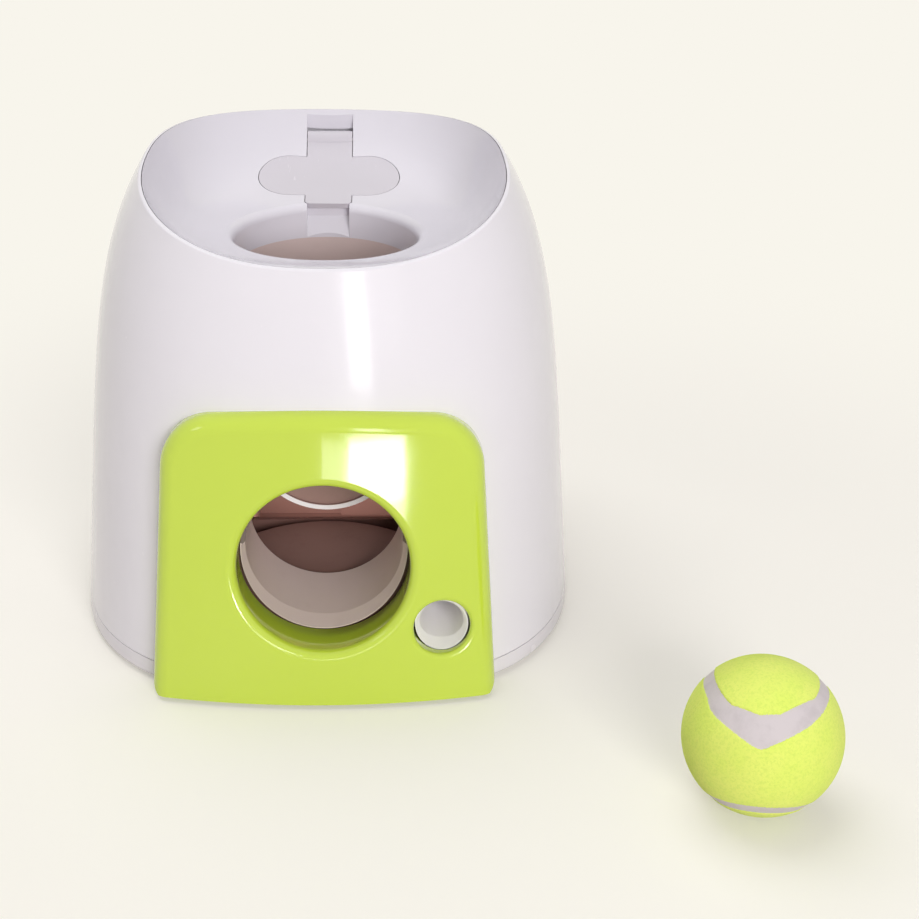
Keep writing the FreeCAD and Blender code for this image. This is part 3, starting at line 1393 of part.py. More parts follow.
tabs = [block("tab_%d" % i, (min(spot.x, math.copysign(cell("channel_half"), spot.x)), spot.y - 6, RISE),
              (max(spot.x, math.copysign(cell("channel_half"), spot.x)), spot.y + 6, RISE + S.channel_base))
        for i, spot in enumerate(CHANNEL_SCREWS)]
tabs += [cylinder("tab_end_%d" % i, 6, S.channel_base, (spot.x, spot.y, RISE)) for i, spot in enumerate(CHANNEL_SCREWS)]
posts, pegs = [], []
tray_turn = (Vector(0, 1, 0), S.tray_slope)
for side, x in (("left", -S.post_x), ("right", S.post_x)):
    posts.append(block("post_" + side, (x - S.post_half, S.post_y - S.post_half, RISE), (x + S.post_half, base_rear, S.tray_left_height + 10)))
    along = (x - S.tray_left_x) / cosine(S.tray_slope)
    peg = cylinder("peg_" + side, S.peg_radius, S.tray_wall + 3, (0, 0, 0))
    drop = S.tray_wall + 3
    place(peg, (S.tray_left_x + along * cosine(S.tray_slope) - drop * sine(S.tray_slope), S.post_y,
                S.tray_left_height - along * sine(S.tray_slope) - drop * cosine(S.tray_slope)), tray_turn)
    pegs.append(peg)
tray_above = doc.addObject("Part::Box", "tray_above")
for prop in ("Length", "Width", "Height"):
    bind(tray_above, prop, 150)
place(tray_above, (S.tray_left_x - 20 * cosine(S.tray_slope) - S.tray_wall * sine(S.tray_slope), 0,
                   S.tray_left_height + 20 * sine(S.tray_slope) - S.tray_wall * cosine(S.tray_slope)), tray_turn)
posts = cut("posts", fuse("post_pair", *posts), tray_above)
barrel = S.shaft_radius + S.running_gap + S.bush_wall
bores = [cylinder("flap_pin_bore", S.flap_pin_radius, 2 * OUTER + 2, (-OUTER - 1, S.flap_y, S.flap_height), "x"),
         cylinder("bush_bore", barrel, 2 * OUTER + 2, (-OUTER - 1, S.pivot_y, S.pivot_height), "x"),
         cylinder("spring_bore", S.spring_hole, S.channel_wall + 2,
                  (S.spring_left_x + S.spring_wire, S.channel_back_y - 1, S.pivot_height - S.spring_radius), "y")]
bores += [cylinder("tab_bore_%d" % i, S.screw_radius + S.screw_gap, 20, (spot.x, spot.y, RISE - 5)) for i, spot in enumerate(CHANNEL_SCREWS)]
channel = fuse("channel_solid", *(walls + [ribs, ramp, lower_stop, posts] + upper + tabs + pegs))
node(cut("ball_channel", channel, *bores), "ball_channel")

# Flap that hangs over the way out
disc_z = S.flap_height - S.flap_reach + S.flap_radius
front = S.flap_y - S.flap_thick / 2
tongue = fuse("tongue", cylinder("tongue_disc", S.flap_radius, S.flap_thick, (0, front, disc_z), "y"),
              block("tongue_plate", (-S.flap_radius, front, disc_z), (S.flap_radius, front + S.flap_thick, S.flap_height)))
bead = cut("bead", cylinder("bead_disc", S.flap_radius, S.flap_thick, (0, front - S.flap_bead, disc_z), "y"),
           cylinder("bead_hole", S.flap_radius - 2 * S.flap_bead, 10, (0, front - 5, disc_z), "y"))
above = block("tongue_above", (-50, front - 10, S.flap_height), (50, front + 10, S.flap_height + 60))
bead_above = block("bead_above", (-50, front - 10, disc_z), (50, front + S.flap_thick, S.flap_height + 60))
knuckle = cylinder("flap_knuckle", S.flap_knuckle, 2 * S.flap_radius, (-S.flap_radius, S.flap_y, S.flap_height), "x")
flap_solid = fuse("flap_solid", cut("tongue_half", tongue, above), cut("bead_half", bead, bead_above), knuckle)
node(cut("exit_flap", flap_solid, cylinder("flap_bore", S.flap_pin_radius + S.running_gap, 100, (-50, S.flap_y, S.flap_height), "x")),
     "exit_flap")
node(cylinder("flap_pin", S.flap_pin_radius, 2 * OUTER, (-OUTER, S.flap_y, S.flap_height), "x"), "flap_pin")

# Paddle that the ball pushes down, built level about its pivot
plate = block("paddle_plate", (-S.paddle_half, -75, -S.paddle_thick / 2), (S.paddle_half, 0, S.paddle_thick / 2))
arc_y = S.ramp_rear_y - S.ramp_arc - S.pivot_y
plate_cut = cut("paddle_cut", plate, cylinder("paddle_arc", S.ramp_arc + S.paddle_gap, 20, (0, arc_y, -10)),
                block("spring_notch", (-50, -9, -20), (S.hub_left_x - 1, 20, 20)))
hub = cylinder("paddle_hub", S.hub_radius, S.hub_right_x - S.hub_left_x, (S.hub_left_x, 0, 0), "x")
paddle = cut("trip_paddle", fuse("paddle_solid", plate_cut, hub), cylinder("paddle_bore", S.shaft_radius, 100, (-50, 0, 0), "x"))
place(paddle, (0, S.pivot_y, S.pivot_height), (LEVEL, -S.paddle_rest))
node(paddle, "trip_paddle")
node(cylinder("paddle_shaft", S.shaft_radius, S.shaft_right_x - S.shaft_left_x, (S.shaft_left_x, S.pivot_y, S.pivot_height), "x"),
     "paddle_shaft")
feature("paddle_spring", paddle_spring())
feature("sector_gear", sector_gear())
feature("drum_pinion", drum_pinion())


def bushes(label, start, wall, direction, y, z):
    """Two flanged bushes; the flanges face away from the walls on the side given."""
    pieces = []
    bore = S.shaft_radius + S.running_gap
    for side in (-1, 1):
        inner, outer = side * start, side * (start + wall)
        far = outer + side * S.bush_flange if direction > 0 else inner - side * S.bush_flange
        near = outer if direction > 0 else inner
        spans = sorted([inner, outer], key=float), sorted([near, far], key=float)
        name = "%s_%s" % (label, "left" if side < 0 else "right")
        solid = fuse(name + "_solid", cylinder(name + "_barrel", barrel, spans[0][1] - spans[0][0], (spans[0][0], y, z), "x"),
                     cylinder(name + "_flange", barrel + S.bush_flange, spans[1][1] - spans[1][0], (spans[1][0], y, z), "x"))
        pieces.append(cut(name, solid, cylinder(name + "_bore", bore, 20, (side * start - 10, y, z), "x")))
    return node(fuse(label, *pieces), label)


bushes("paddle_bushes", S.channel_half, S.channel_wall, -1, S.pivot_y, S.pivot_height)
drum_end = S.drum_half + S.drum_end_gap
bushes("drum_bushes", drum_end, S.end_wall, 1, DRUM_Y, S.drum_height)

# Metering drum with its pocket facing up
drum = cylinder("drum_round", S.drum_radius, 2 * S.drum_half, (-S.drum_half, DRUM_Y, S.drum_height), "x")
scoop = cylinder("drum_pocket", S.pocket_radius, 2 * S.pocket_half, (-S.pocket_half, DRUM_Y, S.drum_height + S.drum_radius), "x")
node(cut("metering_drum", drum, scoop, cylinder("drum_bore", S.shaft_radius, 100, (-50, DRUM_Y, S.drum_height), "x")), "metering_drum")
clip_start = drum_end + S.end_wall + S.bush_flange + S.clip_gap
node(cylinder("drum_shaft", S.shaft_radius, clip_start + 3 - S.drum_shaft_left_x, (S.drum_shaft_left_x, DRUM_Y, S.drum_height), "x"),
     "drum_shaft")
clips = [ring("clip_left", S.clip_radius, S.shaft_radius, -clip_start - S.clip_thick, -clip_start, DRUM_Y, S.drum_height),
         ring("clip_right", S.clip_radius, S.shaft_radius, clip_start, clip_start + S.clip_thick, DRUM_Y, S.drum_height)]
node(fuse("shaft_clips", *clips), "shaft_clips")

# Treat tray: slopes down to the right, open at the low end
treat_tray = new_body("treat_tray")
length = (S.treat_x + S.chute_outer - S.tray_left_x) / cosine(S.tray_slope)
width = S.tray_rear_y - S.tray_front_y
opening = (S.tray_right_x - S.tray_left_x) / cosine(S.tray_slope)
plan = sketch(treat_tray, "XY_Plane", -S.tray_wall)
rectangle(plan, (0, 0), (length, width))
pad(treat_tray, plan, S.tray_wall + S.tray_side)
room = sketch(treat_tray, "XY_Plane", S.tray_side)
rectangle(room, (S.tray_wall, S.tray_wall), (length - S.tray_wall, width - S.tray_wall))
pocket(treat_tray, room, S.tray_side)
gate = sketch(treat_tray, "XY_Plane", S.tray_side)
rectangle(gate, (opening, S.tray_wall), (length - S.tray_wall, width - S.tray_wall))
pocket(treat_tray, gate, S.tray_side + S.tray_wall)
peg_holes = sketch(treat_tray, "XY_Plane", S.tray_side)
for x in (-S.post_x, S.post_x):
    circle(peg_holes, (x - S.tray_left_x) / cosine(S.tray_slope), S.post_y - S.tray_front_y, S.peg_radius)
pocket(treat_tray, peg_holes, S.tray_side + S.tray_wall)
place(treat_tray, (S.tray_left_x, S.tray_front_y, S.tray_left_height), tray_turn)

# Fasteners and feet
screws("base_screws", at_height(BASE_SCREWS, S.base_screw_seat), UPWARD, S.base_screw_length)
screws("cover_screws", at_height(COVER_SCREWS, S.cover_boss_bottom - S.shelf_thick), UPWARD, S.shelf_thick + S.screw_grip)
screws("tube_screws", at_height(tube_screws(), flange_low), UPWARD, S.drop_flange_thick + S.screw_grip)
screws("hopper_screws", at_height(hopper_screws(), S.hopper_ear_top - S.ear_thick), UPWARD, S.ear_thick + S.screw_grip)
screws("channel_screws", at_height(CHANNEL_SCREWS, RISE + S.channel_base), DOWNWARD, S.channel_base + S.channel_grip)
panel_spots, panel_lengths = [], []
for x, up in PANEL_SCREWS:
    depth = casing_depth(x, up) + cell("panel_pad")
    panel_spots.append(Vector(*[float(c) for c in panel_spot(x, up, depth)]))
    panel_lengths.append(size(depth - bow_back(x) - cell("panel_wall") - 1.5))
screws("panel_screws", panel_spots, Rotation(LEVEL, TILT), panel_lengths)
feet = [cylinder("foot_%d" % i, S.foot_radius, S.foot_height, (spot.x, spot.y, 0)) for i, spot in enumerate(FEET)]
node(fuse("rubber_feet", *feet), "rubber_feet")

# Ball: hollow rubber core, felt in two panels and the seam between them
ball_at = (S.ball_x, S.ball_y, S.ball_radius)
spheres = []
for name, radius in (("core_outside", S.ball_radius - S.felt), ("core_inside", S.ball_radius - S.felt - S.core_wall)):
    sphere = doc.addObject("Part::Sphere", name)
    bind(sphere, "Radius", radius)
    spheres.append(place(sphere, ball_at))
node(cut("ball_core", *spheres), "ball_core")
feature("ball_felt", ball_felt())
feature("ball_seam", ball_seam())

doc.recompute()
for piece in doc.Objects:
    assert "Invalid" not in piece.State and "Error" not in piece.State, piece.Name
for step in cuts:
    assert step.Shape.Volume < step.BaseFeature.Shape.Volume - 0.5, step.Name
for piece in nodes:
    assert not piece.Shape.isNull() and piece.Shape.isValid(), piece.Label
    assert piece.Shape.Volume > 1, piece.Label
    piece.Shape.exportStep("parts/%s.step" % piece.Label)
    print(piece.Label, len(piece.Shape.Solids), round(piece.Shape.Volume))
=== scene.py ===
import math

import bpy
import numpy as np
from mathutils import Matrix, Vector


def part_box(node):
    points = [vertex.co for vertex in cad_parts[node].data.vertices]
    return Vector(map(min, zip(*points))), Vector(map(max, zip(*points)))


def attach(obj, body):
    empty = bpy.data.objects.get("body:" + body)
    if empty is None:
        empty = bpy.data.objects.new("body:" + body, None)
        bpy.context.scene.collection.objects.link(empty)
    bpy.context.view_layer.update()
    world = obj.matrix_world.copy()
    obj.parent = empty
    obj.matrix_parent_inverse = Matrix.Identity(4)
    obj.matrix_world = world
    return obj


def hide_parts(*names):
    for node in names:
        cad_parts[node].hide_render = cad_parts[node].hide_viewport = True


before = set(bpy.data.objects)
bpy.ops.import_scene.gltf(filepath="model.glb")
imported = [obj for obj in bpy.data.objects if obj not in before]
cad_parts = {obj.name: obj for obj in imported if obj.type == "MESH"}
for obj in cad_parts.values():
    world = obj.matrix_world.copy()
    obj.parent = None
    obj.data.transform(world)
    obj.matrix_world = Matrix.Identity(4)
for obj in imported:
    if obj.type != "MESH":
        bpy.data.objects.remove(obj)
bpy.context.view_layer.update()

MM = 0.001


def linear(red, green, blue):
    """Colour of a paint chip, given on the usual scale of 0 to 255, as the shader wants it."""
    parts = [part / 255 for part in (red, green, blue)]
    return (*[part / 12.92 if part <= 0.04045 else ((part + 0.055) / 1.055) ** 2.4 for part in parts], 1.0)


# Shader graphs

class Wire:
    """One output in a node graph. Arithmetic on it adds the Math nodes."""

    def __init__(self, graph, output):
        self.graph = graph
        self.output = output

    def _math(self, operation, first, second):
        return self.graph.add("ShaderNodeMath", {"operation": operation}, {0: first, 1: second})

    def __add__(self, other):
        return self._math("ADD", self, other)

    def __radd__(self, other):
        return self._math("ADD", other, self)

    def __mul__(self, other):
        return self._math("MULTIPLY", self, other)

    def __rmul__(self, other):
        return self._math("MULTIPLY", other, self)


class Graph:
    """The nodes of a material or of the world, and the few calls that they are written with."""

    def __init__(self, owner, output):
        self.owner = owner
        owner.use_nodes = True
        self.tree = owner.node_tree
        self.tree.nodes.clear()
        self.out = self.tree.nodes.new(output)

    def add(self, kind, settings=None, sockets=None, out=0):
        """Any node: its type, its settings, the values or links of its sockets, and the output wanted."""
        node = self.tree.nodes.new(kind)
        for key, value in (settings or {}).items():
            setattr(node, key, value)
        for key, value in (sockets or {}).items():
            if isinstance(value, Wire):
                self.tree.links.new(value.output, node.inputs[key])
            else:
                node.inputs[key].default_value = value
        return Wire(self, node.outputs[out])

    def place(self):
        """Position on the piece, in metres, which stays with the piece as it moves."""
        return self.add("ShaderNodeTexCoord", out="Object")

    def stretched(self, x, y, z):
        """Position scaled along each axis, for marks that run one way."""
        return self.add("ShaderNodeMapping", None, {"Vector": self.place(), "Scale": (x, y, z)})

    def noise(self, scale, detail=2.0, roughness=0.5, at=None):
        """Cloudy values from 0 to 1, finer as the scale goes up."""
        sockets = {"Vector": at or self.place(), "Scale": scale, "Detail": detail, "Roughness": roughness}
        return self.add("ShaderNodeTexNoise", None, sockets)

    def ramp(self, value, low, high):
        """0 up to the first bound, 1 from the second on, smooth between."""
        settings = {"interpolation_type": "SMOOTHSTEP"}
        return self.add("ShaderNodeMapRange", settings, {"Value": value, "From Min": low, "From Max": high})

    def tint(self, share, first, second):
        """From the first colour to the second as the share goes from 0 to 1."""
        return self.add("ShaderNodeMix", {"data_type": "RGBA"}, {"Factor": share, 6: first, 7: second}, out=2)

    def bump(self, height, distance, strength=1.0, under=None):
        """Relief of a height in metres, over another relief where one is given."""
        sockets = {"Height": height, "Distance": distance, "Strength": strength}
        if under:
            sockets["Normal"] = under
        return self.add("ShaderNodeBump", None, sockets)

    def seen_share(self):
        """1 for rays from the camera and for what gloss and glass show, else 0."""
        camera = self.add("ShaderNodeLightPath", out="Is Camera Ray")
        gloss = self.add("ShaderNodeLightPath", out="Is Glossy Ray")
        glass = self.add("ShaderNodeLightPath", out="Is Transmission Ray")
        return self.add("ShaderNodeMath", {"operation": "MINIMUM"}, {0: camera + gloss + glass, 1: 1.0})

    def mix(self, share, first, second):
        """From the first shader to the second as the share goes from 0 to 1."""
        return self.add("ShaderNodeMixShader", None, {0: share, 1: first, 2: second})

    def close(self, shader):
        """Ends the graph with a shader and hands back its material or world."""
        self.tree.links.new(shader.output, self.out.inputs["Surface"])
        return self.owner

    def surface(self, **sockets):
        """Ends the graph with the surface shader."""
        named = {key.replace("_", " "): value for key, value in sockets.items()}
        return self.close(self.add("ShaderNodeBsdfPrincipled", None, named))


def new_finish(name):
    """Empty graph of a new material."""
    return Graph(bpy.data.materials.new(name), "ShaderNodeOutputMaterial")


# Finishes

def moulded_gloss(name, colour, shade, rough=0.16, smudge=0.10, wave=0.00012, coat=0.35):
    """Shot moulded plastic with a polished face: faint flow marks, handling smudges and fine scuffs."""
    finish = new_finish(name)
    cloud = finish.noise(14.0, detail=3.0)
    smudges = finish.ramp(finish.noise(38.0, detail=4.0, roughness=0.6), 0.45, 0.75)
    rubs = finish.noise(60.0, detail=3.0, roughness=0.6, at=finish.stretched(9.0, 1.2, 2.4))
    scuffs = finish.ramp(rubs, 0.66, 0.74)
    skin = finish.tint(cloud, colour, shade)
    skin = finish.tint(smudges * 0.18, skin, shade)
    peel = finish.bump(finish.noise(55.0, detail=1.0), wave)
    grain = finish.bump(finish.noise(1500.0, detail=2.0), 0.000008, under=peel)
    return finish.surface(Base_Color=skin, Roughness=rough + smudges * smudge + scuffs * 0.05, Normal=grain,
                          Coat_Weight=coat, Coat_Roughness=0.06, IOR=1.52)


def moulded_satin(name, colour, shade, rough=0.42, grain_size=900.0, grain_height=0.00004):
    """Moulded plastic from a spark eroded tool: an even fine grain that scatters the light."""
    finish = new_finish(name)
    cloud = finish.noise(22.0, detail=3.0)
    wear = finish.ramp(finish.noise(90.0, detail=4.0, roughness=0.65), 0.52, 0.78)
    skin = finish.tint(cloud * 0.6 + wear * 0.3, colour, shade)
    peel = finish.bump(finish.noise(grain_size, detail=3.0, roughness=0.6), grain_height)
    return finish.surface(Base_Color=skin, Roughness=rough + wear * 0.12, Normal=peel, IOR=1.49)


def drawn_steel(name, colour, shade, rough=0.24):
    """Drawn bar or wire: fine lines along its length and a slight bloom."""
    finish = new_finish(name)
    lines = finish.noise(700.0, detail=3.0, roughness=0.7, at=finish.stretched(0.05, 1.0, 1.0))
    bloom = finish.ramp(finish.noise(60.0, detail=3.0), 0.4, 0.7)
    skin = finish.tint(lines * 0.5 + bloom * 0.4, colour, shade)
    return finish.surface(Base_Color=skin, Metallic=1.0, Roughness=rough + lines * 0.16,
                          Normal=finish.bump(lines, 0.000015))


def soft_rubber(name, colour, shade, rough=0.62):
    """Moulded rubber with a dusty bloom and a fine grain."""
    finish = new_finish(name)
    bloom = finish.ramp(finish.noise(120.0, detail=5.0, roughness=0.65), 0.42, 0.74)
    grain = finish.noise(1400.0, detail=3.0)
    skin = finish.tint(bloom, colour, shade)
    return finish.surface(Base_Color=skin, Roughness=rough + bloom * 0.2, Normal=finish.bump(grain, 0.00005),
                          Sheen_Weight=0.08, Sheen_Roughness=0.5)


def brushed_felt(name, colour, shade, hollow_shade):
    """Napped felt: fine matted tufts, with painted shade a little darker between them, and a soft sheen."""
    finish = new_finish(name)
    tufts = finish.noise(900.0, detail=5.0, roughness=0.7)
    mats = finish.noise(70.0, detail=4.0, roughness=0.55)
    wisps = finish.noise(1500.0, detail=4.0, roughness=0.7, at=finish.stretched(0.7, 1.6, 1.0))
    skin = finish.tint(finish.ramp(mats, 0.35, 0.7), colour, shade)
    # Painted shade: darker where the tufts' relief is low
    skin = finish.tint(finish.ramp(tufts, 0.56, 0.36) * 0.35, skin, hollow_shade)
    nap = finish.bump(wisps, 0.00015, strength=0.7, under=finish.bump(tufts, 0.0003))
    return finish.surface(Base_Color=skin, Roughness=0.95, Normal=nap, Sheen_Weight=0.25, Sheen_Roughness=0.6,
                          Sheen_Tint=(0.93, 1.0, 0.6, 1.0), IOR=1.3)


# The flap's free edge is round: the height of its middle, its radius, and the width of the white band
# along it, a painted highlight, with and without the blend into the plate
FLAP_MIDDLE, FLAP_REACH = 93.0 * MM, 34.5 * MM
GLINT_WIDE, GLINT_FULL = 2.4 * MM, 2.0 * MM


def flap_painted_light():
    """Plate in a dark brown, painted shade, with a white band round its free edge, a painted highlight."""
    finish = new_finish("flap_painted_shade")
    upright = {"Vector": finish.place(), "Location": (0.0, 0.0, -FLAP_MIDDLE), "Scale": (1.0, 0.0, 1.0)}
    spoke = finish.add("ShaderNodeMapping", None, upright)
    reach = finish.add("ShaderNodeVectorMath", {"operation": "LENGTH"}, {0: spoke}, out="Value")
    # Painted highlight: white along the free edge, where the edge would catch the light
    glint = finish.ramp(reach, FLAP_REACH - GLINT_WIDE, FLAP_REACH - GLINT_FULL)
    cloud = finish.noise(30.0, detail=3.0)
    # Painted shade: the plate's dark brown stands for the shade inside the outlet
    plate = finish.tint(cloud, linear(164, 132, 124), linear(154, 122, 114))
    skin = finish.tint(glint, plate, linear(252, 249, 250))
    grain = finish.bump(finish.noise(900.0, detail=3.0, roughness=0.6), 0.00003)
    return finish.surface(Base_Color=skin, Roughness=0.36 + cloud * 0.08, Normal=grain, IOR=1.49)


FINISHES = {
    "casing": moulded_gloss("casing_white", linear(245, 242, 248), linear(240, 237, 243)),
    # The bowl and the lid are the casing's white made darker: painted shade on faces turned up, which get
    # less light
    "bowl": moulded_gloss("bowl_white", linear(230, 227, 234), linear(225, 222, 229), smudge=0.05),
    "lid": moulded_gloss("lid_white", linear(214, 210, 217), linear(210, 205, 212), rough=0.24, smudge=0.03),
    "panel": moulded_gloss("panel_lime", linear(208, 231, 73), linear(203, 227, 65), rough=0.10, smudge=0.05,
                           wave=0.00006, coat=0.6),
    "base": moulded_gloss("base_white", linear(240, 236, 241), linear(234, 230, 235), rough=0.2),
    # The tubes are white plastic dulled to a pinkish beige: painted shade of the inside of the holes
    "tube": moulded_satin("tube_white", linear(219, 201, 196), linear(210, 191, 185), rough=0.3),
    "chute": moulded_satin("chute_white", linear(250, 247, 248), linear(244, 240, 241), rough=0.3),
    # Painted shade: the ball channel and the paddle are given the dark warm brown of the shaded interior
    "channel": moulded_satin("channel_grey", linear(128, 96, 88), linear(118, 87, 79)),
    "paddle": moulded_satin("paddle_painted_shade", linear(164, 130, 122), linear(150, 116, 108), rough=0.38),
    "gear": moulded_satin("gear_acetal", linear(234, 231, 222), linear(222, 218, 208), rough=0.34),
    "hopper": moulded_satin("hopper_grey", linear(222, 220, 220), linear(210, 208, 208)),
    "drum": moulded_satin("drum_green", linear(176, 204, 76), linear(160, 190, 62), rough=0.36),
    "bush": moulded_satin("bush_black", linear(46, 46, 48), linear(60, 60, 62), rough=0.4),
    "steel": drawn_steel("drawn_steel", (0.62, 0.62, 0.63, 1.0), (0.48, 0.48, 0.5, 1.0)),
    "screw": drawn_steel("zinc_steel", (0.56, 0.56, 0.55, 1.0), (0.42, 0.43, 0.45, 1.0), rough=0.34),
    "foot": soft_rubber("foot_rubber", linear(44, 43, 43), linear(66, 64, 62)),
    "core": soft_rubber("core_rubber", linear(150, 146, 140), linear(172, 168, 160)),
    "band": soft_rubber("band_rubber", linear(216, 208, 209), linear(206, 198, 199), rough=0.7),
    "felt": brushed_felt("ball_felt", linear(242, 255, 124), linear(235, 254, 115), linear(204, 234, 90)),
    "flap": flap_painted_light(),
}

WORN_BY = {
    "casing": ["body_shell"],
    "bowl": ["top_bowl"],
    "lid": ["hopper_lid"],
    "panel": ["front_panel"],
    "base": ["base_tray"],
    "tube": ["drop_tube", "exit_tube"],
    "chute": ["treat_chute"],
    "channel": ["ball_channel"],
    "flap": ["exit_flap"],
    "paddle": ["trip_paddle"],
    "gear": ["sector_gear", "drum_pinion"],
    "hopper": ["treat_hopper", "treat_tray"],
    "drum": ["metering_drum"],
    "bush": ["paddle_bushes", "drum_bushes"],
    "steel": ["lid_pin", "flap_pin", "paddle_shaft", "drum_shaft", "shaft_clips", "paddle_spring"],
    "screw": ["base_screws", "cover_screws", "tube_screws", "hopper_screws", "channel_screws",
              "panel_screws"],
    "foot": ["rubber_feet"],
    "core": ["ball_core"],
    "felt": ["ball_felt"],
    "band": ["ball_seam"],
}
for finish_name, members in WORN_BY.items():
    for member in members:
        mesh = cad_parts[member].data
        mesh.materials.clear()
        mesh.materials.append(FINISHES[finish_name])


# Ball: two felt panels and the smooth band between them, as the photograph shows them

low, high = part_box("ball_core")
BALL_AT = np.array((low + high) / 2)
BALL_RADIUS = 32.5 * MM
FELT_EDGE, FELT_THICK, BAND_SINK = 1.1 * MM, 1.8 * MM, 0.4 * MM

# How far the seam swings, from 0 for a plain circle, and the turn in which this ball lies
SEAM_SHARE = 0.214
SEAM_AXIS = Vector((-0.241, 0.733, 0.636)).normalized()
SEAM_TURN = np.array(Matrix.Rotation(math.radians(142.8), 3, SEAM_AXIS))
SEAM_POINTS = 720

# The felt's edge, in radians from the band's edge: where it starts to rise, how much loose fibres shift
# that, and how wide the rise is
EDGE_START, EDGE_FRAY, EDGE_WIDTH = -0.012, 0.004, 0.04

# Loose fibres on the felt: the step between them, and the least and the most of their random lengths
LINT_STEP, LINT_LEAST, LINT_MOST, LINT_SEED = 0.05 * MM, -1.5, 1.2, 7

# Quads along each edge of the ball's cube, and the parts that its angles are worked out in, to save memory
FINE_STEPS, QUICK_STEPS = 160, 80
ANGLE_PARTS = 24


def seam_line():
    """Unit directions along the seam, the closed wave that splits the ball into two equal panels."""
    t = np.linspace(0, 2 * math.pi, SEAM_POINTS, endpoint=False)
    b = SEAM_SHARE
    line = np.stack([(1 - b) * np.cos(t) + b * np.cos(3 * t), (1 - b) * np.sin(t) - b * np.sin(3 * t),
                     2 * math.sqrt(b * (1 - b)) * np.sin(2 * t)], 1)
    line /= np.linalg.norm(line, axis=1, keepdims=True)
    return line @ SEAM_TURN.T


def ball_grid(steps):
    """Directions and quads of a cube's faces blown up to a sphere, with shared corners."""
    ticks = np.tan(np.linspace(-math.pi / 4, math.pi / 4, steps + 1))
    spots, index, quads = [], {}, []
    for axis in range(3):
        for sign in (-1, 1):
            ids = np.zeros((steps + 1, steps + 1), int)
            for i, u in enumerate(ticks):
                for j, v in enumerate(ticks):
                    spot = [0, 0, 0]
                    spot[axis] = sign
                    spot[(axis + 1) % 3] = u
                    spot[(axis + 2) % 3] = v
                    key = tuple(round(c, 6) for c in spot)
                    if key not in index:
                        index[key] = len(spots)
                        spots.append(spot)
                    ids[i, j] = index[key]
            a, b, c, d = ids[:-1, :-1], ids[1:, :-1], ids[1:, 1:], ids[:-1, 1:]
            quad = np.stack([a, b, c, d] if sign > 0 else [a, d, c, b], -1)
            quads.append(quad.reshape(-1, 4))
    spots = np.array(spots, float)
    return spots / np.linalg.norm(spots, axis=1, keepdims=True), np.concatenate(quads)


# Edge of the broad part of the band, where the two felt panels of this ball meet badly: directions from
# the ball's middle, left to right along its lower and its upper side, and how far left it goes
BAND_LOWER = [(-0.72, -0.40, 0.57), (-0.24, -0.89, 0.39), (0.43, -0.67, 0.61), (0.65, -0.30, 0.70)]
BAND_UPPER = [(-0.59, -0.38, 0.71), (-0.23, -0.65, 0.72), (0.02, -0.67, 0.74), (0.51, -0.37, 0.77)]
BAND_LEFT = 0.76

# Half the width of the band's even part, and how much the corners of its broad part are eased, in radians
BAND_HALF, BAND_CORNER = 0.078, 0.05


def great_circles(corners):
    """Normals of the planes through the ball's middle and each pair of neighbouring corners, pointing up."""
    corners = np.array(corners)
    normals = np.cross(corners[1:], corners[:-1])
    normals *= np.sign(normals[:, 2:3])
    return normals / np.linalg.norm(normals, axis=1, keepdims=True)


def softer_max(first, second):
    """The larger of two fields, with the corner between them eased."""
    return (first + second + np.hypot(first - second, BAND_CORNER)) / 2


def band_field(directions):
    """Below 0 in the band and above 0 on the felt, in radians from the band's edge."""
    line = seam_line()
    parts = np.array_split(directions, ANGLE_PARTS)
    along = np.concatenate([np.arccos(np.clip(part @ line.T, -1, 1)).min(1) for part in parts]) - BAND_HALF
    lower = -(directions @ great_circles(BAND_LOWER).T)
    upper = (directions @ great_circles(BAND_UPPER).T).min(1)
    broad = softer_max(softer_max(lower[:, 0], lower[:, 1]), lower[:, 2])
    broad = softer_max(broad, -directions[:, 0] - BAND_LEFT)
    return np.minimum(along, np.maximum(broad, upper))


def shell_piece(name, directions, outer, inner, faces, finish):
    """Closed skin over some faces of the ball: its outside, its inside and the wall round its edge."""
    used = np.unique(faces)
    renumber = np.zeros(len(directions), int)
    renumber[used] = np.arange(len(used))
    faces = renumber[faces]
    points = np.concatenate([BALL_AT + directions[used] * outer[used][:, None],
                             BALL_AT + directions[used] * inner])
    sides = {}
    for quad in faces.tolist():
        for start, end in zip(quad, quad[1:] + quad[:1]):
            sides[(start, end)] = True
    rim = [(start, end) for start, end in sides if (end, start) not in sides]
    walls = [(end, start, start + len(used), end + len(used)) for start, end in rim]
    inside = (faces[:, ::-1] + len(used)).tolist()
    mesh = bpy.data.meshes.new(name)
    mesh.from_pydata(points.tolist(), [], faces.tolist() + inside + walls)
    mesh.materials.append(finish)
    mesh.polygons.foreach_set("use_smooth", [True] * len(mesh.polygons))
    piece = bpy.data.objects.new(name, mesh)
    bpy.context.scene.collection.objects.link(piece)
    return piece


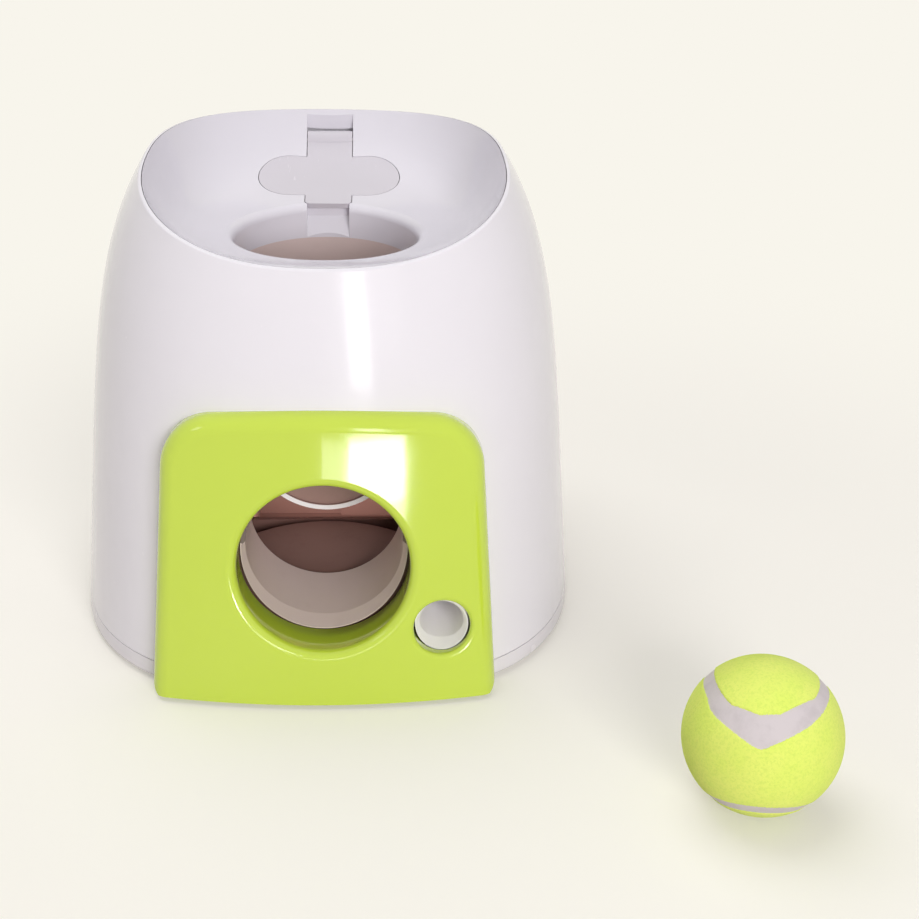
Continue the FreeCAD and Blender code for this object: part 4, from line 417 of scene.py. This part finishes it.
def build_ball():
    """Felt whose edge rolls down into the groove, and the smooth rubber band in that groove."""
    steps = FINE_STEPS
    directions, quads = ball_grid(steps)
    field = band_field(directions)
    cell = math.pi / 2 / steps
    rng = np.random.default_rng(LINT_SEED)
    lint = np.clip(rng.normal(size=len(directions)), LINT_LEAST, LINT_MOST)
    edge = np.clip((field - EDGE_START + EDGE_FRAY * lint) / EDGE_WIDTH, 0, 1)
    roll = edge * edge * (3 - 2 * edge)
    rise = (roll - 1) * FELT_EDGE + LINT_STEP * (lint - LINT_MOST) * roll
    felt_radius = np.minimum(BALL_RADIUS, BALL_RADIUS + rise)
    band_radius = np.full(len(directions), BALL_RADIUS - BAND_SINK)
    inside = BALL_RADIUS - FELT_THICK
    # The band runs on under the felt's edge, so that no gap opens between them
    felt_quads = quads[field[quads].max(1) > EDGE_START - 1.5 * cell]
    band_quads = quads[field[quads].min(1) < EDGE_WIDTH / 2 + 2 * cell]
    return (shell_piece("felt_panels", directions, felt_radius, inside, felt_quads, FINISHES["felt"]),
            shell_piece("band_rubber", directions, band_radius, inside, band_quads, FINISHES["band"]))


felt, band = build_ball()
for piece, slot in ((felt, "ball_felt"), (band, "ball_seam")):
    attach(piece, "ball")
    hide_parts(slot)


# Floor, world, lamps and camera

CREAM = linear(248, 245, 236)
FLOOR_RADIUS, FLOOR_SIDES = 6.0, 64

# Middle of what stands on the floor, how far its shadows stay whole, and where the floor is all plain
STANDS_AT = (0.06, -0.10, 0.0)
SHADOW_REACH, PLAIN_REACH = 0.22, 0.62

# Share of plain light in the floor that is seen: at its middle, and how much more far away
NEAR_PLAIN, FAR_PLAIN_MORE = 0.28, 0.72

# The paper as the lamps find it and as it is seen, and the plain light that is seen near the machine
PAPER_LIT, PAPER_SEEN, NEAR_GLOW = linear(208, 203, 195), (1.0, 0.975, 0.90, 1.0), (1.02, 0.992, 0.915, 1.0)

# What the room around gives back to the object
ROOM_TINT, ROOM_STRENGTH = (1.0, 0.965, 0.985, 1.0), 0.26


def floor_finish():
    """Cream paper that takes the shadows near the machine and runs out into the backdrop further off."""
    finish = new_finish("floor_paper")
    seen = finish.seen_share()
    apart = {0: finish.place(), 1: STANDS_AT}
    away = finish.add("ShaderNodeVectorMath", {"operation": "DISTANCE"}, apart, out="Value")
    plain = finish.ramp(away, SHADOW_REACH, PLAIN_REACH)
    sheet = finish.tint(seen, PAPER_LIT, PAPER_SEEN)
    grain = finish.bump(finish.noise(900.0, detail=2.0), 0.00004)
    paper = finish.add("ShaderNodeBsdfDiffuse", None, {"Color": sheet, "Normal": grain})
    light = finish.tint(plain, NEAR_GLOW, CREAM)
    glow = finish.add("ShaderNodeEmission", None, {"Color": light, "Strength": 1.0})
    return finish.close(finish.mix(seen * (plain * FAR_PLAIN_MORE + NEAR_PLAIN), paper, glow))


def lay_floor():
    """One wide round sheet."""
    turns = np.linspace(0, 2 * math.pi, FLOOR_SIDES, endpoint=False)
    ring = [(FLOOR_RADIUS * math.cos(turn), FLOOR_RADIUS * math.sin(turn), 0) for turn in turns]
    mesh = bpy.data.meshes.new("floor")
    mesh.from_pydata(ring, [], [list(range(FLOOR_SIDES))])
    mesh.materials.append(floor_finish())
    floor = bpy.data.objects.new("floor", mesh)
    bpy.context.scene.collection.objects.link(floor)
    return floor


floor = lay_floor()


def hang_backdrop():
    """Plain light all round, seen in cream by the camera and in anything that shines."""
    world = Graph(bpy.data.worlds.new("studio"), "ShaderNodeOutputWorld")
    room = world.add("ShaderNodeBackground", None, {"Color": ROOM_TINT, "Strength": ROOM_STRENGTH})
    cream = world.add("ShaderNodeBackground", None, {"Color": CREAM, "Strength": 1.0})
    bpy.context.scene.world = world.close(world.mix(world.seen_share(), room, cream))


hang_backdrop()


def lamp(name, at, towards, size, power, colour=(1, 1, 1), diffuse=True, glossy=True):
    """Soft box: a rectangle, wide and high as its size says, that shines from one point towards another."""
    light = bpy.data.lights.new(name, "AREA")
    light.shape = "RECTANGLE"
    light.size, light.size_y = size
    light.energy = power
    light.color = colour
    box = bpy.data.objects.new(name, light)
    box.location = at
    box.rotation_mode = "QUATERNION"
    box.rotation_quaternion = (Vector(towards) - Vector(at)).to_track_quat("-Z", "Y")
    box.visible_camera = False
    box.visible_diffuse = diffuse
    box.visible_glossy = glossy
    bpy.context.scene.collection.objects.link(box)


MIDDLE, FRONT_FACE = (0.0, 0.0, 0.1), (0.0, -0.1, 0.15)
ROSE, WARM, WARMER = (1.0, 0.985, 1.0), (1.0, 0.96, 0.95), (1.0, 0.93, 0.90)

# Light on the whole object
lamp("overhead", (-0.5, 0.7, 2.5), MIDDLE, size=(2.4, 2.4), power=36.0, glossy=False)
lamp("front", (0.72, -2.5, 1.0), MIDDLE, size=(1.1, 0.8), power=42.0, colour=ROSE, glossy=False)
lamp("left_box", (-0.9, -0.75, 1.0), MIDDLE, size=(0.3, 0.3), power=0.5)

# What the glossy casing and panel mirror: a tall window, and the panes that show on the panel
lamp("window", (0.16, -1.15, 0.42), FRONT_FACE, size=(0.14, 0.34), power=0.8, diffuse=False)
lamp("pane_bright", (0.066, -0.45, 0.061), (0.022, -0.11, 0.106), size=(0.079, 0.038), power=0.21,
     diffuse=False)
lamp("pane_dim", (0.090, -0.45, 0.028), (0.03, -0.11, 0.085), size=(0.034, 0.026), power=0.02,
     diffuse=False)
lamp("pane_left", (0.006, -0.45, 0.062), (0.0, -0.11, 0.106), size=(0.036, 0.036), power=0.016,
     diffuse=False)

# Small lamps in the outlet, for the light that the thin shells let through
lamp("tube_side", (-0.028, -0.088, 0.078), (0.034, -0.080, 0.060), size=(0.02, 0.02), power=0.003,
     colour=WARM, glossy=False)
lamp("under_paddle", (0.0, -0.015, 0.037), (0.0, 0.034, 0.013), size=(0.06, 0.008), power=0.042,
     colour=WARMER, glossy=False)

# The camera that took the photograph: place in metres and angles in degrees, from the machine's own outline
CAMERA_AT = Vector((0.02348, -0.79637, 0.44372))
YAW, PITCH, ROLL = (math.radians(angle) for angle in (2.89, 25.82, 1.23))
FOCAL_PIXELS, FRAME_PIXELS, SENSOR = 1800.0, 919.0, 36.0
NEAR_CLIP, FAR_CLIP = 0.01, 20.0


def set_camera():
    """Long lens a little above the machine, turned and rolled as the photograph shows."""
    forward = Vector((math.sin(YAW) * math.cos(PITCH), math.cos(YAW) * math.cos(PITCH), -math.sin(PITCH)))
    right = Vector((math.cos(YAW), -math.sin(YAW), 0.0))
    up = right.cross(forward)
    across = right * math.cos(ROLL) + up * math.sin(ROLL)
    above = up * math.cos(ROLL) - right * math.sin(ROLL)
    lens = bpy.data.cameras.new("camera")
    lens.sensor_width = SENSOR
    lens.lens = FOCAL_PIXELS / FRAME_PIXELS * SENSOR
    lens.clip_start = NEAR_CLIP
    lens.clip_end = FAR_CLIP
    camera = bpy.data.objects.new("camera", lens)
    turn = Matrix((across, above, -forward)).transposed().to_4x4()
    camera.matrix_world = Matrix.Translation(CAMERA_AT) @ turn
    bpy.context.scene.collection.objects.link(camera)
    bpy.context.scene.camera = camera


set_camera()
bpy.context.scene.view_settings.view_transform = "Standard"
